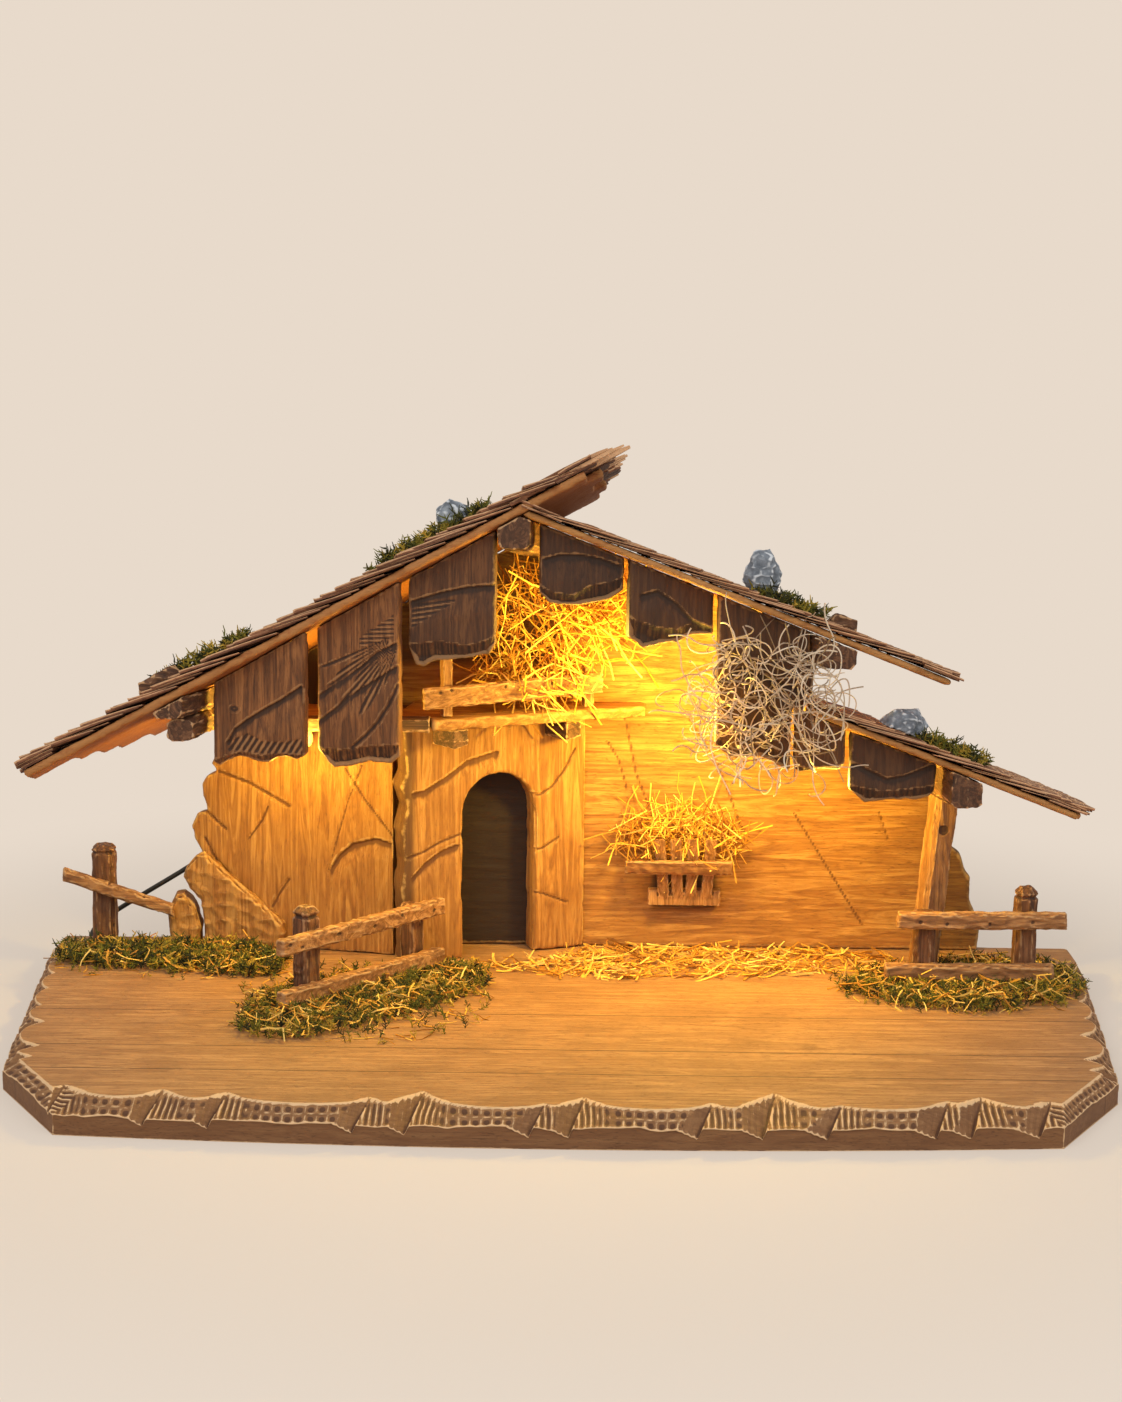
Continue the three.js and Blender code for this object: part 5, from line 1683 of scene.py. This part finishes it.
def laySplinters():
    # long pointed splits whose tips stand past the ridge
    roof, draw = roofs["left"], random.Random(12)
    points, faces, relief = [], [], []
    for y, lift, past, length, width, thick in splinters:
        tip = roof["tops"][1] + past
        first = len(points)
        stations = [(length, 1), (length * 0.5, 1.05), (12, 0.9), (5, 0.55), (0, 0.12)]
        for back, share in stations:
            x = tip - back
            sway = draw.uniform(-0.6, 0.6)
            for side, level in ((-1, 0), (1, 0), (1, 1), (-1, 1)):
                aside = y + sway + side * width / 2 * share
                points.append(overRoof(roof, x, aside, lift + level * thick * (0.4 + 0.6 * share)))
                relief.append(0.6 if back < 13 else 0.35 * level)
        faces += ringFaces(first, len(stations), 4)
    mesh = bpy.data.meshes.new("splinters")
    mesh.from_pydata([tuple(point * mm) for point in points], [], faces)
    setAttribute(mesh, "relief", relief)
    setAttribute(mesh, "tone", np.full(len(points), 0.2))
    bm = bmesh.new()
    bm.from_mesh(mesh)
    bmesh.ops.recalc_face_normals(bm, faces=bm.faces)
    bm.to_mesh(mesh)
    mesh.materials.append(bpy.data.materials["shingle_wood_x"])
    asPiece("ridge_splinters", mesh)


chips = {
    # x and y of the middle, length, depth and height, lift over the boards
    "left": (-214, 40, 28, 12, 8, 5), "right": (146, 50, 18, 12, 8, 3),
}
chipCut = {"voxel": 0.7, "cut": (9, 5), "depth": 0.6, "seed": 90, "wane": 1.5}


def layChips():
    for side, (x, y, length, depth, height, lift) in chips.items():
        roof = roofs[side]
        run = length * math.cos(math.atan(roof["slope"])) / 2
        corners = []
        for dy, top in ((-depth / 2, height), (depth / 2, height - chipCut["wane"])):
            for dx, up in ((-run, 0), (run, 0), (3 - run, top), (run - 2, top)):
                corners.append(overRoof(roof, x + dx, y + dy, lift + up))
        cutMesh(f"{side}_roof_chip_1", blockOf(corners), chipCut["voxel"],
                hewn("x", chipCut["cut"], chipCut["depth"], chipCut["seed"]),
                woodFor("beam", "x"))


layShingles()
laySplinters()
layChips()
print("shingles laid")


# hay, straw, moss and lichen

plants = {
    # colours of a strand over its own tone
    "hay": [(0.1, (140, 86, 22)), (0.35, (204, 142, 42)), (0.65, (236, 184, 76)),
            (1.0, (248, 216, 126))],
    "moss": [(0.1, (28, 28, 6)), (0.32, (58, 60, 12)), (0.55, (98, 98, 20)), (0.75, (150, 128, 34)),
             (1.0, (214, 172, 64))],
    "lichen": [(0.1, (132, 108, 82)), (0.5, (196, 172, 144)), (1.0, (236, 218, 192))],
}
strands = {
    # how many different ones, and their sizes
    "stalk": {"count": 12, "length": 46, "bow": 7, "radius": 0.56, "seed": 5},
    "straw": {"count": 14, "length": 22, "bow": 4.5, "radius": 0.8, "seed": 6},
    "sprig": {"count": 14, "height": 8, "radius": 0.5, "seed": 7, "needles": 7},
    "curl": {"count": 12, "steps": 34, "stride": 3.2, "radius": 0.66, "seed": 8},
}
leans = {
    "anyWay": (math.pi, math.pi, math.pi), "flat": (0.3, 0.3, math.pi), "upward": (0.6, 0.6, math.pi),
}
growth = {
    # seed, strands to a square millimetre, smallest, largest, lean, and how deep they sink
    "loftHay": (1, 0.021, 0.6, 1.2, "anyWay", 16), "mangerHay": (2, 0.055, 0.45, 0.95, "anyWay", 8),
    "floorStraw": (3, 0.06, 0.4, 1.1, "flat", 0.2), "lichen": (4, 0.01, 0.5, 0.8, "anyWay", 11),
    "roofMoss": (30, 0.12, 0.7, 1.4, "upward", 1.5),
    # on each heap of moss on the ground and loose round it, green sprigs and dry straws
    "heapSprigs": (10, 0.11, 0.55, 1.0, "upward", 2.5),
    "looseSprigs": (50, 0.012, 0.4, 0.8, "upward", 1),
    "heapStraws": (20, 0.03, 0.35, 0.85, "upward", -4),
    "looseStraws": (60, 0.009, 0.3, 0.7, "flat", 0.2),
}
strawPatch = [(-50, 92), (-8, 76), (40, 70), (104, 76), (160, 88), (188, 104), (186, 128), (122, 134),
              (20, 135), (-12, 104), (-44, 98)]
heaps = {
    # smallest and largest sprig on each
    "ground_moss_left": (0.7, 1.3), "ground_moss_front": (0.55, 1.0), "ground_moss_right": (0.55, 1.0),
}
roofTufts = [
    # roof, x, y, half length and half depth of a patch of moss
    ("left", -190, 44, 26, 12), ("left", -66, 46, 34, 14),
    ("right", 116, 46, 20, 12), ("lower", 206, 46, 22, 12),
]


def plantFinish(name, tones, roughness):
    material, start = newMaterial(name)
    fine = objectPlace(start).noise(0.9, 4, 0.6)
    colour = (attribute(start, "tone") * 0.8 + fine * 0.25).coloured(linearStops(tones))
    finishMaterial(start, colour, roughness, fine, 0.15)
    return material


def patchMesh(points):
    mesh = bpy.data.meshes.new("patch")
    mesh.from_pydata([tuple(Vector(point) * mm) for point in points], [], [tuple(range(len(points)))])
    return mesh


def tuftPatch(side, x, y, half, depth):
    # an oval on a roof's cover
    roof, ring = roofs[side], []
    for i in range(12):
        angle = math.tau * i / 12
        across, back = x + half * math.cos(angle), y + depth * math.sin(angle)
        ring.append(overRoof(roof, across, back, roof["cover"] - 0.4))
    return patchMesh(ring)


def looseEdge(node):
    # an oval on the deck, a little wider than a heap of moss
    box = [Vector(corner) / mm for corner in frame["nodes"][node].bound_box]
    low, high = box[0], box[6]
    middle, half = (low + high) / 2, (high - low) / 2 * 1.1
    ring = []
    for i in range(16):
        angle = math.tau * i / 16
        x, y = middle.x + half.x * math.cos(angle), middle.y + half.y * math.sin(angle)
        ring.append((x, y, deck + 0.6))
    return patchMesh(ring)


def topFaces(node, above=0, upright=0.3):
    # the faces of a solid that look up, or only those over a height
    bm = bmesh.new()
    bm.from_mesh(merged(node))
    bm.normal_update()
    hidden = [face for face in bm.faces
              if face.normal.z < upright or face.calc_center_median().z < above * mm]
    bmesh.ops.delete(bm, geom=hidden, context="FACES")
    mesh = bpy.data.meshes.new("top")
    bm.to_mesh(mesh)
    return mesh


def growPlants():
    tree = scatterTree()
    hay = plantFinish("hay_stalk", plants["hay"], 0.75)
    moss = plantFinish("green_moss", plants["moss"], 0.85)
    pale = plantFinish("pale_lichen", plants["lichen"], 0.85)
    stalks = stalkForms("stalk", **strands["stalk"])
    straws = stalkForms("straw", **strands["straw"])
    sprigs = sprigForms("sprig", **strands["sprig"])
    curls = curlForms("curl", **strands["curl"])

    def scattered(emitter, kind, forms, finish, more=0, sizes=None):
        seed, density, smallest, largest, lean, sink = growth[kind]
        smallest, largest = sizes or (smallest, largest)
        return grow(tree, emitter, {
            "Density": density * 1e6, "Seed": seed + more, "Smallest": smallest, "Largest": largest,
            "Lean": leans[lean], "Sink": sink * mm, "Forms": forms, "Finish": finish,
        })

    loft = scattered(merged("loft_hay"), "loftHay", stalks, hay)
    asPiece("loft_hay_strands", loft, ["loft_hay"])
    manger = scattered(topFaces("manger_hay", 76, -2), "mangerHay", stalks, hay)
    asPiece("manger_hay_strands", manger, ["manger_hay"])
    floor = patchMesh([(x, y, deck + 1.0) for x, y in strawPatch])
    asPiece("floor_straw", scattered(floor, "floorStraw", straws, hay))
    for i, (node, sizes) in enumerate(heaps.items()):
        heap, edge = topFaces(node), looseEdge(node)
        green = joined([scattered(heap, "heapSprigs", sprigs, moss, i, sizes),
                        scattered(edge, "looseSprigs", sprigs, moss, i)])
        dry = joined([scattered(heap, "heapStraws", straws, hay, i),
                      scattered(edge, "looseStraws", straws, hay, i)])
        asPiece(f"{node}_sprigs", green, [node])
        asPiece(f"{node}_straws", dry)
    tufts = [scattered(tuftPatch(*tuft), "roofMoss", sprigs, moss, i)
             for i, tuft in enumerate(roofTufts)]
    asPiece("roof_moss_sprigs", joined(tufts))
    asPiece("lichen_curls", scattered(merged("lichen"), "lichen", curls, pale), ["lichen"])
    dropForms(stalks, straws, sprigs, curls)


growPlants()
print("plants grown")
